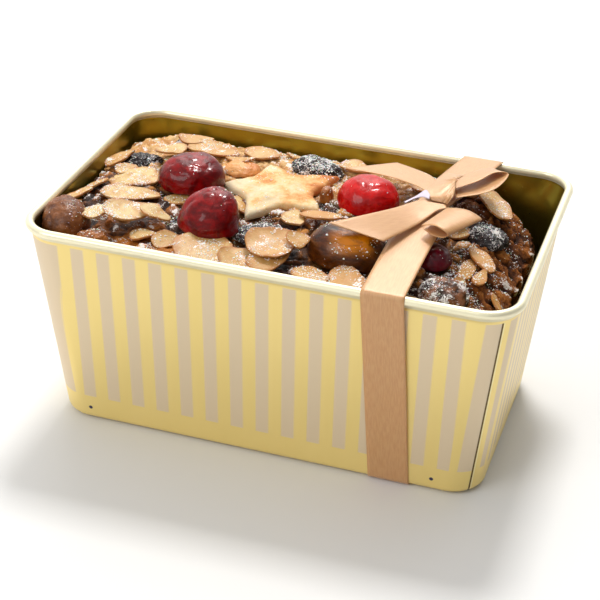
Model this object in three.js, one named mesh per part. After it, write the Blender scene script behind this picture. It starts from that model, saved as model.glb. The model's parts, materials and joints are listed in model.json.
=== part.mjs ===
// A rich fruit cake baked in a small loaf shape and sold in its own tapered metal tin, tied with a satin
// ribbon. The cake is topped with halved glace cherries, a pastry star, dried fruit and flaked almonds.
// Millimetres, +Z up, +X along the tin, the ribbon towards +X; the origin is the middle of the underside.

import * as THREE from 'three';

const DEGREE = Math.PI / 180;

// ---------------------------------------------------------------- driving sizes

const RIM_HEIGHT = 75.75;          // centre of the rolled rim above the tin's own base
const RIM_HALF = [83.5, 52.4];     // half length and half depth at the centre of the rolled rim
const BASE_HALF = [76.05, 44.63];  // the same of the tapered wall, at the base
const CORNER = 11.7;               // corner radius of the wall
const BEAD = 1.5;                  // radius of the rolled rim
const WALL = 0.9;
const BASE_EDGE = 2.5;             // rounding between wall and base
const PANEL_INSET = 10;            // the base's middle panel is pressed up inside this border
const PANEL_RISE = 0.8;

const RIBBON_WIDTH = 14.2;
const RIBBON = 0.3;                // ribbon thickness
const RIBBON_GAP = 0.1;
const TIN_LIFT = RIBBON + RIBBON_GAP;   // the ribbon runs under the tin's base
const TIE = [43.5, 3, 82.2];       // where the ribbon crosses under its bow

const CAKE_FIT = 0.45;             // gap between the cake and the tin's wall
const CAKE_BASE = 2.6;
const CAKE_CROWN = 74.2;           // highest part of the crust
const CAKE_END = 77.3;             // the cake stops short of the tin's right end
const CAKE_CORNERS = [12, 28, 11, 11];  // back left, back right, front right, front left

const LAY_GAP = 0.35;              // between a topping and what it lies on
const FLAKE = 0.9;                 // flaked almond thickness

// ---------------------------------------------------------------- toppings
// Places on the crust, half sizes, height, and turn in degrees about the vertical.

const CHERRIES = [
  { name: 'cherry_back_left', at: [-44.6, 1.8], half: [11.9, 10.8], height: 10.0, turn: 8 },
  { name: 'cherry_front_left', at: [-28.3, -26.0], half: [11.0, 10.2], height: 12.6, turn: -20 },
  { name: 'cherry_middle', at: [18.4, 9.8], half: [11.3, 9.8], height: 9.0, turn: -8 },
  { name: 'cherry_under_ribbon', at: [49.0, -19.6], half: [7.6, 7.4], height: 4.4, turn: 30 },
];

const STAR = {
  at: [-13.4, 6.4],
  thickness: 3.6,
  notch: 12.8,
  point: 1.8,        // how sharply the arms come to their tips
  tips: [[45, 25], [116, 20.5], [192, 19.2], [261, 24], [331, 21.4]],   // direction, reach
};

const FRUIT = [
  { name: 'fig', at: [22.2, -24.8], half: [14.3, 11.2], height: 11.0, turn: -6 },
  { name: 'prune_back', at: [-7.0, 31.4], half: [10.0, 6.0], height: 6.0, turn: -6 },
  { name: 'prune_front', at: [-8.8, -21.8], half: [7.4, 5.8], height: 3.6, turn: 20 },
  { name: 'date_corner', at: [-73.8, -35.4], half: [7.6, 8.4], height: 6.0, turn: 35 },
  { name: 'date_piece', at: [4.2, 9.6], half: [2.4, 3.3], height: 4.8, turn: 0 },
  { name: 'caramel_piece', at: [-60.8, -42.2], half: [5.4, 4.4], height: 3.8, turn: 0 },
  { name: 'toffee_bump', at: [-31.6, 21.4], half: [4.6, 4.4], height: 3.0, turn: 20 },
  { name: 'raisin_back_left', at: [-57.0, 36.2], half: [4.6, 3.2], height: 3.0, turn: 0 },
  { name: 'raisin_left', at: [-68.4, 17.6], half: [6.4, 3.7], height: 2.6, turn: 24 },
  { name: 'raisin_by_bow', at: [55.0, 18.2], half: [5.4, 5.0], height: 3.4, turn: -30 },
  { name: 'raisin_right', at: [64.6, 0.2], half: [6.6, 5.5], height: 3.8, turn: -35 },
  { name: 'prune_front_right', at: [57.4, -38.8], half: [7.4, 7.0], height: 5.2, turn: -25 },
];

const FLAKES_UNDER = [
  { at: [-22.6, -38.8], half: [9.9, 8.4], turn: 14 },
  { at: [-52.4, 17.6], half: [7.6, 5.0], turn: -20 },
];

const FLAKES = [
  { at: [-67.0, 0.6], half: [8.2, 6.6], turn: 84 },
  { at: [-62.4, -13.6], half: [10.4, 5.0], turn: 5 },
  { at: [-62.8, -31.4], half: [6.0, 3.8], turn: 46 },
  { at: [-53.4, -27.2], half: [10.4, 6.2], turn: 46 },
  { at: [-45.8, -24.8], half: [4.8, 3.8], turn: 10 },
  { at: [-61.7, 28.3], half: [5.8, 5.0], turn: -28 },
  { at: [-46.6, -36.6], half: [3.8, 3.2], turn: 30 },
  { at: [-76.0, -23.4], half: [5.4, 3.3], turn: 48 },
  { at: [-76.8, -9.0], half: [4.0, 2.4], turn: 50 },
  { at: [-76.0, 12.2], half: [4.6, 3.0], turn: 40 },
  { at: [-43.5, 32.0], half: [8.6, 5.2], turn: -6 },
  { at: [-28.3, 35.8], half: [7.2, 4.7], turn: -14 },
  { at: [-10.6, -41.8], half: [5.8, 4.8], turn: 60 },
  { at: [-3.8, -28.0], half: [10.0, 7.2], turn: 46 },
  { at: [1.4, -38.2], half: [8.8, 4.9], turn: 64 },
  { at: [-1.0, -10.8], half: [5.0, 3.5], turn: -40 },
  { at: [3.8, -26.0], half: [4.2, 3.0], turn: 62 },
  { at: [7.2, -8.0], half: [5.2, 2.8], turn: 14 },
  { at: [28.4, -42.6], half: [5.2, 4.4], turn: -20 },
  { at: [6.4, 38.2], half: [6.0, 4.4], turn: -12 },
  { at: [62.8, 24.2], half: [6.2, 4.6], turn: -62 },
  { at: [63.4, -20.6], half: [6.0, 2.4], turn: 86 },
  { at: [68.0, -22.2], half: [4.2, 2.2], turn: 84 },
  { at: [66.4, -12.2], half: [5.4, 2.9], turn: -44 },
  { at: [50.0, -46.4], half: [3.6, 2.4], turn: -20 },
  { at: [16.2, -43.6], half: [4.5, 3.2], turn: -8 },
];

// ---------------------------------------------------------------- materials

const paint = (color, roughness, metalness = 0) => new THREE.MeshStandardMaterial({ color, roughness, metalness });
const LOOKS = {
  tin: paint(0xe2c98a, 0.35, 0.7),
  satin: paint(0xe9c796, 0.45),
  crust: paint(0x6b3f1c, 0.85),
  cherry: paint(0x8c1420, 0.15),
  pastry: paint(0xecd29a, 0.7),
  driedFruit: paint(0x2b2022, 0.6),
  fig: paint(0x573313, 0.25),
  almond: paint(0xdcb877, 0.55),
};

// ---------------------------------------------------------------- closed meshes

const smooth = (low, high, value) => {
  const t = Math.min(1, Math.max(0, (value - low) / (high - low)));
  return t * t * (3 - 2 * t);
};

// Turns that share an axis are kept as plain arrays [x, y, z]; a ring is a closed list of them.
const centroid = (ring) => {
  const sum = [0, 0, 0];
  for (const p of ring) p.forEach((value, axis) => { sum[axis] += value / ring.length; });
  return sum;
};

// A closed body through rings of equal length. An open row of rings gets a fan of triangles at each end;
// a row that comes back to its start is joined to itself. Faces point out whichever way the rings run.
function bodyThrough(rings, joined = false) {
  const count = rings[0].length;
  const points = rings.flat();
  const faces = [];
  const rows = joined ? rings.length : rings.length - 1;
  for (let row = 0; row < rows; row += 1) {
    const here = row * count;
    const next = ((row + 1) % rings.length) * count;
    for (let i = 0; i < count; i += 1) {
      const j = (i + 1) % count;
      faces.push([here + i, here + j, next + j], [here + i, next + j, next + i]);
    }
  }
  if (!joined) {
    const last = (rings.length - 1) * count;
    const low = points.push(centroid(rings[0])) - 1;
    const high = points.push(centroid(rings[rings.length - 1])) - 1;
    for (let i = 0; i < count; i += 1) {
      const j = (i + 1) % count;
      faces.push([low, j, i], [high, last + i, last + j]);
    }
  }
  const volume = faces.reduce((sum, [a, b, c]) => sum + signedVolume(points[a], points[b], points[c]), 0);
  const outward = volume > 0 ? faces : faces.map(([a, b, c]) => [a, c, b]);
  const geometry = new THREE.BufferGeometry();
  geometry.setAttribute('position', new THREE.Float32BufferAttribute(points.flat(), 3));
  geometry.setIndex(outward.flat());
  geometry.computeVertexNormals();
  return geometry;
}

function signedVolume(a, b, c) {
  return a[0] * (b[1] * c[2] - b[2] * c[1]) + a[1] * (b[2] * c[0] - b[0] * c[2])
    + a[2] * (b[0] * c[1] - b[1] * c[0]);
}

// A level loop of straight sides and four round corners; corners run back left, back right, front right,
// front left, and each side is split into equal steps.
function roundedLoop({ left, right, front, back, corners, z, arcSteps = 6, sideSteps = 1 }) {
  const centres = [
    [left + corners[0], back - corners[0], 180],
    [right - corners[1], back - corners[1], 90],
    [right - corners[2], front + corners[2], 0],
    [left + corners[3], front + corners[3], -90],
  ];
  const arcs = centres.map(([x, y, start], index) => {
    const arc = [];
    for (let step = 0; step <= arcSteps; step += 1) {
      const angle = (start - 90 * step / arcSteps) * DEGREE;
      arc.push([x + corners[index] * Math.cos(angle), y + corners[index] * Math.sin(angle), z]);
    }
    return arc;
  });
  const loop = [];
  arcs.forEach((arc, index) => {
    loop.push(...arc);
    const from = arc[arc.length - 1];
    const to = arcs[(index + 1) % 4][0];
    for (let step = 1; step < sideSteps; step += 1) {
      const t = step / sideSteps;
      loop.push([from[0] + (to[0] - from[0]) * t, from[1] + (to[1] - from[1]) * t, z]);
    }
  });
  return loop;
}

// ---------------------------------------------------------------- tin

// Half sizes of the wall's outer face at a height above the tin's own base.
function wallHalf(height) {
  const share = Math.min(1, Math.max(0, height / RIM_HEIGHT));
  return [0, 1].map((axis) => BASE_HALF[axis] + (RIM_HALF[axis] - BASE_HALF[axis]) * share);
}

// One level loop of the tin: the wall's outline there, moved out by an offset.
function tinLoop(offset, height) {
  const [halfX, halfY] = wallHalf(height);
  const radius = CORNER + offset;
  return roundedLoop({
    left: -halfX - offset,
    right: halfX + offset,
    front: -halfY - offset,
    back: halfY + offset,
    corners: [radius, radius, radius, radius],
    z: TIN_LIFT + height,
  });
}

// From the middle of the base outside, up the wall, round the rolled rim and down to the floor inside.
function tinGeometry() {
  const loops = [tinLoop(-PANEL_INSET - 1.5, PANEL_RISE), tinLoop(-PANEL_INSET, 0)];
  for (let angle = 0; angle <= 90; angle += 30) {
    const turn = angle * DEGREE;
    loops.push(tinLoop(BASE_EDGE * (Math.sin(turn) - 1), BASE_EDGE * (1 - Math.cos(turn))));
  }
  const innerMeet = 180 + Math.acos(WALL / BEAD) / DEGREE;
  const beadSteps = 11;
  for (let step = 0; step <= beadSteps; step += 1) {
    const turn = (-90 + (innerMeet + 90) * step / beadSteps) * DEGREE;
    const height = RIM_HEIGHT + BEAD * Math.sin(turn);
    const [wallHere] = wallHalf(height);
    loops.push(tinLoop(BEAD * Math.cos(turn) + RIM_HALF[0] - wallHere, height));
  }
  const floorEdge = 2;
  for (let angle = 0; angle <= 90; angle += 30) {
    const turn = angle * DEGREE;
    const inset = floorEdge * (1 - Math.cos(turn));
    loops.push(tinLoop(-WALL - inset, WALL + floorEdge * (1 - Math.sin(turn))));
  }
  loops.push(tinLoop(-PANEL_INSET + WALL, WALL));
  loops.push(tinLoop(-PANEL_INSET - 1.5 + WALL, WALL + PANEL_RISE));
  return bodyThrough(loops);
}

// ---------------------------------------------------------------- cake

// One level outline of the cake: the tin's inside less the fit, but short and round at its right end.
function cakeLoop(inset, z) {
  const [halfX, halfY] = wallHalf(z - TIN_LIFT).map((half) => half - WALL - CAKE_FIT - inset);
  return roundedLoop({
    left: -halfX,
    right: Math.min(halfX, CAKE_END - inset),
    front: -halfY,
    back: halfY - 2.4 * smooth(30, 70, z),
    corners: CAKE_CORNERS.map((radius) => radius - Math.min(inset, radius / 2)),
    z,
    arcSteps: 5,
    sideSteps: 6,
  });
}

// The crust's height: a low crown with soft lumps, before its edges are rounded down.
function crustHeight(x, y) {
  const crown = CAKE_CROWN - 1.5 * (y / 46) ** 2;
  const lumps = 0.5 * Math.sin(x / 11 + 1) * Math.cos(y / 9) + 0.3 * Math.sin(x / 5.3) * Math.sin(y / 6.1);
  return crown + lumps - 1.2 * smooth(-50, -80, x);
}

// How far the crust is below its crown at a distance in from the edge. The right end has crumbled away.
function edgeDrop(x, distance) {
  const crumbled = smooth(42, 74, x);
  const drop = 3.4 + 7.6 * crumbled;
  const reach = 9 + 15 * crumbled;
  return drop * (1 - Math.min(1, distance / reach)) ** 2;
}

function cakeGeometry() {
  const rings = [cakeLoop(2, CAKE_BASE), cakeLoop(0, CAKE_BASE + 2), cakeLoop(0, 34)];
  const edge = cakeLoop(0, 68);
  const crustPoint = ([x, y], share) => {
    const reach = Math.hypot(x, y);
    const px = x * share;
    const py = y * share;
    return [px, py, crustHeight(px, py) - edgeDrop(px, reach * (1 - share))];
  };
  for (const share of [1, 0.985, 0.96, 0.92, 0.86, 0.78, 0.62, 0.42, 0.2]) {
    rings.push(edge.map((point) => crustPoint(point, share)));
  }
  return bodyThrough(rings);
}

// ---------------------------------------------------------------- ribbon

// A flat strip between two edge curves, as thick as the ribbon. A joined strip comes back to its start.
function strip(edgeA, edgeB, joined = false) {
  const count = edgeA.length;
  const vectors = [edgeA, edgeB].map((edge) => edge.map((point) => new THREE.Vector3(...point)));
  const rings = vectors[0].map((a, index) => {
    const b = vectors[1][index];
    const before = joined ? (index + count - 1) % count : Math.max(0, index - 1);
    const after = joined ? (index + 1) % count : Math.min(count - 1, index + 1);
    const along = vectors[0][after].clone().sub(vectors[0][before])
      .add(vectors[1][after].clone().sub(vectors[1][before]));
    const off = along.cross(b.clone().sub(a)).setLength(RIBBON / 2);
    return [a.clone().add(off), b.clone().add(off), b.clone().sub(off), a.clone().sub(off)]
      .map((corner) => corner.toArray());
  });
  return bodyThrough(rings, joined);
}

const curveThrough = (points, steps) => new THREE.CatmullRomCurve3(
  points.map((point) => new THREE.Vector3(...point)),
).getPoints(steps).map((point) => point.toArray());

// The middle line of the band that goes once round the tin: under the base, up the front, over the rim,
// over the cake to the tie and down the back. Each arc rounds one edge of the tin at half a ribbon's gap.
function bandLine() {
  const off = RIBBON_GAP + RIBBON / 2;
  const baseY = wallHalf(BASE_EDGE)[1] - BASE_EDGE;
  const lowArc = { y: baseY, z: TIN_LIFT + BASE_EDGE, radius: BASE_EDGE + off };
  const rimArc = { y: RIM_HALF[1], z: TIN_LIFT + RIM_HEIGHT, radius: BEAD + off };
  const climb = Math.atan2(TIE[2] - rimArc.z, rimArc.y) / DEGREE;
  const line = [];
  const round = ({ y, z, radius }, from, to, side, xFrom, xTo, steps = 6) => {
    for (let step = 0; step <= steps; step += 1) {
      const t = step / steps;
      const turn = (from + (to - from) * t) * DEGREE;
      line.push([xFrom + (xTo - xFrom) * t, side * (y + radius * Math.cos(turn)), z + radius * Math.sin(turn)]);
    }
  };
  const lean = 7;
  round(lowArc, -90, -lean, -1, 45.5, 45.4);
  round(rimArc, -lean, 90 - climb, -1, 41.9, 41.8, 8);
  line.push([42.4, -25, TIE[2] - 2.0], [TIE[0] - 0.2, TIE[1] - 8, TIE[2] - 0.5], TIE);
  line.push([TIE[0] + 0.9, TIE[1] + 8, TIE[2] - 0.6], [46.8, 30, TIE[2] - 2.3]);
  round(rimArc, 90 - climb, -lean, 1, 50.3, 50.2, 8);
  round(lowArc, -lean, -90, 1, 47.2, 47.0);
  return line;
}

// The band keeps its full width but for the stretch that the tie pulls together.
function bandGeometry() {
  const line = bandLine();
  const halfAt = ([, y, z]) => {
    const pulled = z > 79 ? Math.exp(-(((y - TIE[1]) / 9) ** 2)) : 0;
    return RIBBON_WIDTH / 2 - 1.6 * pulled;
  };
  const edge = (side) => line.map((point) => [point[0] + side * halfAt(point), point[1], point[2]]);
  return strip(edge(-1), edge(1), true);
}

// A loop of the bow: out along a direction and back underneath, with its full width away from the tie.
function loopStrip(points, across, halfWidth) {
  const middle = curveThrough(points, 22);
  const edge = (side) => middle.map((point, index) => {
    const t = index / (middle.length - 1);
    const half = halfWidth * (0.55 + 0.45 * smooth(0, 0.3, Math.min(t, 1 - t)));
    return point.map((value, axis) => value + side * half * across[axis]);
  });
  return strip(edge(-1), edge(1));
}

const BOW = {
  ribbon_tail_left: strip(
    curveThrough([[43.0, 15.2, 83.4], [37.6, 24.6, 81.8], [30.4, 31.2, 80.2], [22.4, 36.0, 79.2]], 12),
    curveThrough([[41.0, 7.4, 83.6], [34.6, 14.2, 82.4], [21.6, 22.6, 80.0], [6.2, 25.4, 79.0]], 12),
  ),
  ribbon_tail_front: strip(
    curveThrough([[40.8, 0.8, 84.2], [33.8, -13.0, 86.8], [24.1, -25.2, 87.6], [17.1, -31.4, 87.2]], 12),
    curveThrough([[45.2, -6.4, 84.1], [46.4, -13.8, 86.0], [42.2, -25.8, 87.0], [37.2, -35.8, 86.8]], 12),
  ),
  ribbon_loop_back: loopStrip(
    [[48.6, 6.8, 86.8], [53.2, 11.2, 90.6], [57.8, 15.6, 91.8], [61.4, 19.2, 90.6], [62.6, 20.4, 88.6],
      [60.6, 18.4, 86.6], [56.0, 13.8, 85.2], [51.8, 9.8, 84.6]],
    [-0.69, 0.72, 0.0],
    7.5,
  ),
  ribbon_loop_front: loopStrip(
    [[48.0, -8.6, 86.5], [51.4, -10.2, 86.8], [55.2, -12.0, 86.4], [58.0, -13.4, 84.9], [55.4, -12.1, 83.4],
      [51.6, -10.3, 83.0], [48.4, -8.8, 83.0]],
    [0.465, 0.885, 0.0],
    7.9,
  ),
};

// The knot is the ribbon pulled tight over itself: a low rounded wrap.
function knotGeometry() {
  const rings = [];
  for (const [share, z] of [[0.8, 82.75], [1, 83.9], [0.94, 85.2], [0.72, 86.3], [0.36, 86.9]]) {
    const ring = [];
    for (let step = 0; step < 16; step += 1) {
      const turn = step / 16 * 2 * Math.PI;
      const pinch = 1 + 0.1 * Math.cos(2 * turn);
      ring.push([46.4 + 4.0 * share * pinch * Math.cos(turn), 3.4 + 3.6 * share * Math.sin(turn), z]);
    }
    rings.push(ring);
  }
  return bodyThrough(rings);
}

// ---------------------------------------------------------------- laying toppings

// What a topping would come down on: the highest solid surface over a square grid, kept up to date as
// each piece is laid.
const CELL = 0.5;
const GRID = { x0: -86, y0: -55, columns: 344, rows: 220 };
const covered = new Float64Array(GRID.columns * GRID.rows).fill(-Infinity);

function coverWith(geometry) {
  const position = geometry.getAttribute('position');
  const index = geometry.getIndex();
  for (let face = 0; face < index.count; face += 3) {
    const [a, b, c] = [0, 1, 2].map((k) => index.getX(face + k))
      .map((v) => [position.getX(v), position.getY(v), position.getZ(v)]);
    const area = (b[0] - a[0]) * (c[1] - a[1]) - (b[1] - a[1]) * (c[0] - a[0]);
    if (area <= 1e-9) continue;
    const columnOf = (x) => Math.round((x - GRID.x0) / CELL);
    const rowOf = (y) => Math.round((y - GRID.y0) / CELL);
    const columns = [Math.min(a[0], b[0], c[0]), Math.max(a[0], b[0], c[0])].map(columnOf);
    const rows = [Math.min(a[1], b[1], c[1]), Math.max(a[1], b[1], c[1])].map(rowOf);
    for (let row = rows[0]; row <= rows[1]; row += 1) {
      for (let column = columns[0]; column <= columns[1]; column += 1) {
        const x = GRID.x0 + column * CELL;
        const y = GRID.y0 + row * CELL;
        const shareC = ((b[0] - a[0]) * (y - a[1]) - (b[1] - a[1]) * (x - a[0])) / area;
        const shareB = ((x - a[0]) * (c[1] - a[1]) - (y - a[1]) * (c[0] - a[0])) / area;
        const shareA = 1 - shareB - shareC;
        if (Math.min(shareA, shareB, shareC) < -0.02) continue;
        const height = shareA * a[2] + shareB * b[2] + shareC * c[2];
        const cell = row * GRID.columns + column;
        covered[cell] = Math.max(covered[cell], height);
      }
    }
  }
}

// The plane that a flat-bottomed piece comes to rest on: the best fit to what is under its footprint, no
// steeper than the steepest lean, then raised until it is clear of all of it.
function restingPlane(at, reach, covers, steepest) {
  const spots = [];
  for (let x = at[0] - reach; x <= at[0] + reach; x += CELL) {
    for (let y = at[1] - reach; y <= at[1] + reach; y += CELL) {
      if (!covers(x - at[0], y - at[1])) continue;
      const row = Math.round((y - GRID.y0) / CELL);
      const z = covered[row * GRID.columns + Math.round((x - GRID.x0) / CELL)];
      if (Number.isFinite(z)) spots.push([x - at[0], y - at[1], z]);
    }
  }
  const mean = centroid(spots);
  const sum = (pick) => spots.reduce((total, spot) => total + pick(spot), 0);
  const xx = sum(([x]) => (x - mean[0]) ** 2);
  const yy = sum(([, y]) => (y - mean[1]) ** 2);
  const xy = sum(([x, y]) => (x - mean[0]) * (y - mean[1]));
  const xz = sum(([x, , z]) => (x - mean[0]) * (z - mean[2]));
  const yz = sum(([, y, z]) => (y - mean[1]) * (z - mean[2]));
  const determinant = xx * yy - xy * xy;
  let slope = [(xz * yy - yz * xy) / determinant, (yz * xx - xz * xy) / determinant];
  const steepness = Math.hypot(...slope);
  if (steepness > steepest) slope = slope.map((value) => value * steepest / steepness);
  const height = Math.max(...spots.map(([x, y, z]) => z - slope[0] * x - slope[1] * y));
  return { slope, height: height + LAY_GAP };
}

// Lays a piece whose rings are given in its own flat frame (u, v, w up from its underside).
function lay(rings, at, turn, outline, steepest) {
  const cos = Math.cos(turn * DEGREE);
  const sin = Math.sin(turn * DEGREE);
  const reach = 1 + Math.max(...rings.flat().map(([u, v]) => Math.hypot(u, v)));
  const covers = (x, y) => outline(x * cos + y * sin, y * cos - x * sin);
  const { slope, height } = restingPlane(at, reach, covers, steepest);
  const up = new THREE.Vector3(-slope[0], -slope[1], 1).normalize();
  const along = new THREE.Vector3(cos, sin, slope[0] * cos + slope[1] * sin).normalize();
  const across = up.clone().cross(along);
  const origin = new THREE.Vector3(at[0], at[1], height);
  const placed = rings.map((ring) => ring.map(([u, v, w]) => origin.clone()
    .addScaledVector(along, u).addScaledVector(across, v).addScaledVector(up, w).toArray()));
  const geometry = bodyThrough(placed);
  coverWith(geometry);
  return geometry;
}

const inEllipse = (halfU, halfV, margin) => (u, v) => (
  (u / (halfU + margin)) ** 2 + (v / (halfV + margin)) ** 2 < 1
);

// A rounded piece of fruit on a flat foot, a little narrower at the foot and gently lobed.
function domeRings([halfU, halfV], height, lobes) {
  const levels = [[0.86, 0], [1, 0.26], [0.93, 0.55], [0.74, 0.8], [0.4, 0.96]];
  return levels.map(([share, rise]) => {
    const ring = [];
    for (let step = 0; step < 14; step += 1) {
      const turn = step / 14 * 2 * Math.PI;
      const wave = 1 - lobes * (0.5 + 0.5 * Math.cos(3 * turn + halfU));
      ring.push([halfU * share * wave * Math.cos(turn), halfV * share * wave * Math.sin(turn), height * rise]);
    }
    return ring;
  });
}

// A flaked almond: a thin slice with one blunt and one pointed end.
function flakeRings([halfU, halfV]) {
  const slice = (share, w) => {
    const ring = [];
    for (let step = 0; step < 14; step += 1) {
      const turn = step / 14 * 2 * Math.PI;
      const taper = 1 - 0.28 * Math.cos(turn);
      ring.push([halfU * share * Math.cos(turn), halfV * share * taper * Math.sin(turn), w]);
    }
    return ring;
  };
  return [slice(1, 0), slice(0.96, FLAKE)];
}

// The pastry star: its outline runs tip, notch, tip with rounded ends, and its top is puffed up.
function starReach(turn) {
  const angle = ((turn / DEGREE) % 360 + 360) % 360;
  const tips = STAR.tips;
  for (let i = 0; i < tips.length; i += 1) {
    const [from, reachFrom] = tips[i];
    const [nextAngle, reachTo] = tips[(i + 1) % tips.length];
    const span = ((nextAngle - from) % 360 + 360) % 360;
    const past = ((angle - from) % 360 + 360) % 360;
    if (past > span) continue;
    const t = past / span;
    const reach = reachFrom + (reachTo - reachFrom) * t;
    const point = Math.abs(2 * t - 1);
    return STAR.notch + (reach - STAR.notch) * point ** STAR.point;
  }
  return STAR.notch;
}

function starRings() {
  const levels = [[0.97, 0], [1, 0.22], [0.96, 0.62], [0.84, 0.9], [0.5, 1]];
  return levels.map(([share, rise]) => {
    const ring = [];
    for (let step = 0; step < 60; step += 1) {
      const turn = step / 60 * 2 * Math.PI;
      const reach = share * starReach(turn);
      ring.push([reach * Math.cos(turn), reach * Math.sin(turn), STAR.thickness * rise]);
    }
    return ring;
  });
}

// ---------------------------------------------------------------- the whole

const loaf = new THREE.Group();

function addPiece(name, geometry, look) {
  const mesh = new THREE.Mesh(geometry, look);
  mesh.name = name;
  loaf.add(mesh);
}

addPiece('tin', tinGeometry(), LOOKS.tin);
const cake = cakeGeometry();
addPiece('cake', cake, LOOKS.crust);
coverWith(cake);

let flakeNumber = 0;
const layFlake = ({ at, half, turn }) => {
  flakeNumber += 1;
  const name = `almond_${String(flakeNumber).padStart(2, '0')}`;
  addPiece(name, lay(flakeRings(half), at, turn, inEllipse(half[0], half[1] * 1.15, 0.7), 0.42), LOOKS.almond);
};
const layFruit = ({ name, at, half, height, turn }, lobes, look) => {
  addPiece(name, lay(domeRings(half, height, lobes), at, turn, inEllipse(...half, 0.8), 0.2), look);
};

FLAKES_UNDER.forEach(layFlake);
const starOutline = (u, v) => Math.hypot(u, v) < starReach(Math.atan2(v, u)) + 0.9;
addPiece('pastry_star', lay(starRings(), STAR.at, 0, starOutline, 0.1), LOOKS.pastry);
for (const cherry of CHERRIES) layFruit(cherry, 0.03, LOOKS.cherry);
for (const fruit of FRUIT) layFruit(fruit, 0.1, fruit.name === 'fig' ? LOOKS.fig : LOOKS.driedFruit);
FLAKES.forEach(layFlake);

addPiece('ribbon_band', bandGeometry(), LOOKS.satin);
for (const [name, geometry] of Object.entries(BOW)) addPiece(name, geometry, LOOKS.satin);
addPiece('ribbon_knot', knotGeometry(), LOOKS.satin);

export default loaf;
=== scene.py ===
"""A rich fruit cake loaf in its own tapered tin, tied with a satin ribbon.

The sections follow the loaf as it is put together: the view, the tin, the cake, what lies on the
crust, the dusting of sugar and last the ribbon. Shapes are worked out in millimetres and put into
their meshes in metres.
"""

import bpy
import numpy as np
from mathutils import Matrix, Vector
from mathutils.bvhtree import BVHTree
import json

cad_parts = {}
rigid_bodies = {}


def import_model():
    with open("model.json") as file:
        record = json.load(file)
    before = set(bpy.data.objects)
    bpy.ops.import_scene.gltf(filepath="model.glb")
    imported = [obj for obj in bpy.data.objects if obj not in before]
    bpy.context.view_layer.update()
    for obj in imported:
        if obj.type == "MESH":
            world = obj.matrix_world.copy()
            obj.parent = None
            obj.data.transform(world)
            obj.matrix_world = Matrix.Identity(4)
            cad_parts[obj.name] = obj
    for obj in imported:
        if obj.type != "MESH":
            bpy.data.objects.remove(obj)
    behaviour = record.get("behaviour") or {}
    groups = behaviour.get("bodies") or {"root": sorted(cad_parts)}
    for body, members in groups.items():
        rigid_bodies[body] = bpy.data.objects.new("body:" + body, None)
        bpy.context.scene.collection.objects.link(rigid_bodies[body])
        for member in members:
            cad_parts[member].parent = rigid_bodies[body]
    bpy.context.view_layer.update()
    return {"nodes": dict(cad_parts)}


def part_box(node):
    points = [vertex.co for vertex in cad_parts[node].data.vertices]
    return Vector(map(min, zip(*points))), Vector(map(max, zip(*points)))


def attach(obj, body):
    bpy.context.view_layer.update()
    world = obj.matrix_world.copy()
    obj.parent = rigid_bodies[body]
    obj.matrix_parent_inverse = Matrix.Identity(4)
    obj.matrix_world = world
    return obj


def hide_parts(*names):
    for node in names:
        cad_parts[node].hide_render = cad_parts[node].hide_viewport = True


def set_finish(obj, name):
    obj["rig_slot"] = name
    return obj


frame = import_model()

# ------------------------------------------------------------------------------------------ view
# The loaf stands on a wide pale floor, seen from the front right and above. A soft light hangs
# behind and above it, a broad one further back stands for a window and a third fills in from the
# front left. A pale sky, dimmer on the right, does the rest.

MM = 0.001
EYE = (147.4, -484.2, 335.2)
AZIMUTH, ELEVATION, ROLL = np.radians((17.075, 30.468, 1.779))
LENS = 99.1
FLOOR_REACH = 8000.0


def dye(red, green, blue):
    """A linear colour from the 0 to 255 numbers of a paint chart (each share to the power 2.2)."""
    return tuple((np.array((red, green, blue)) / 255) ** 2.2) + (1.0,)


def camera_turn(azimuth, elevation, roll):
    """Rotation whose columns are the camera's right, up and back, turned about back by the roll."""
    back = np.array((np.sin(azimuth) * np.cos(elevation), -np.cos(azimuth) * np.cos(elevation),
                     np.sin(elevation)))
    level = np.array((np.cos(azimuth), np.sin(azimuth), 0))
    up = np.cross(back, level)
    right = np.cos(roll) * level + np.sin(roll) * up
    return np.stack((right, np.cos(roll) * up - np.sin(roll) * level, back), axis=1)


lens = bpy.data.cameras.new("camera")
lens.lens = LENS
lens.sensor_width = 36
lens.clip_start = 0.05
lens.clip_end = 30
camera = bpy.data.objects.new("camera", lens)
camera.matrix_world = Matrix.LocRotScale(
    Vector(EYE) * MM, Matrix(camera_turn(AZIMUTH, ELEVATION, ROLL)).to_quaternion(), None)
bpy.context.collection.objects.link(camera)
bpy.context.scene.camera = camera


def soft_light(name, place, aim, size, power, colour=(1, 1, 1)):
    """A square lamp at a place in metres, facing a point."""
    lamp = bpy.data.lights.new(name, "AREA")
    lamp.size = size
    lamp.energy = power
    lamp.color = colour
    thing = bpy.data.objects.new(name, lamp)
    facing = Vector(place) - Vector(aim)
    thing.matrix_world = Matrix.LocRotScale(Vector(place), facing.to_track_quat("Z", "Y"), None)
    bpy.context.collection.objects.link(thing)


soft_light("back_light", (-0.15, 0.95, 1.85), (0, 0, 0.06), 0.4, 28, (1, 0.985, 0.96))
soft_light("window_light", (-0.62, 2.0, 1.7), (0, 0, 0.06), 1.5, 14, (1, 0.99, 0.97))
soft_light("front_light", (-1.1, -1.6, 1.4), (0, 0, 0.04), 1.2, 16)
bpy.context.scene.view_settings.view_transform = "Standard"


def mesh_piece(name, points, faces, smooth=True):
    """A mesh through points in millimetres, as an object at the origin."""
    mesh = bpy.data.meshes.new(name)
    mesh.from_pydata((points * MM).tolist(), [], faces)
    mesh.polygons.foreach_set("use_smooth", np.full(len(mesh.polygons), smooth))
    piece = bpy.data.objects.new(name, mesh)
    bpy.context.collection.objects.link(piece)
    return piece


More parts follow.
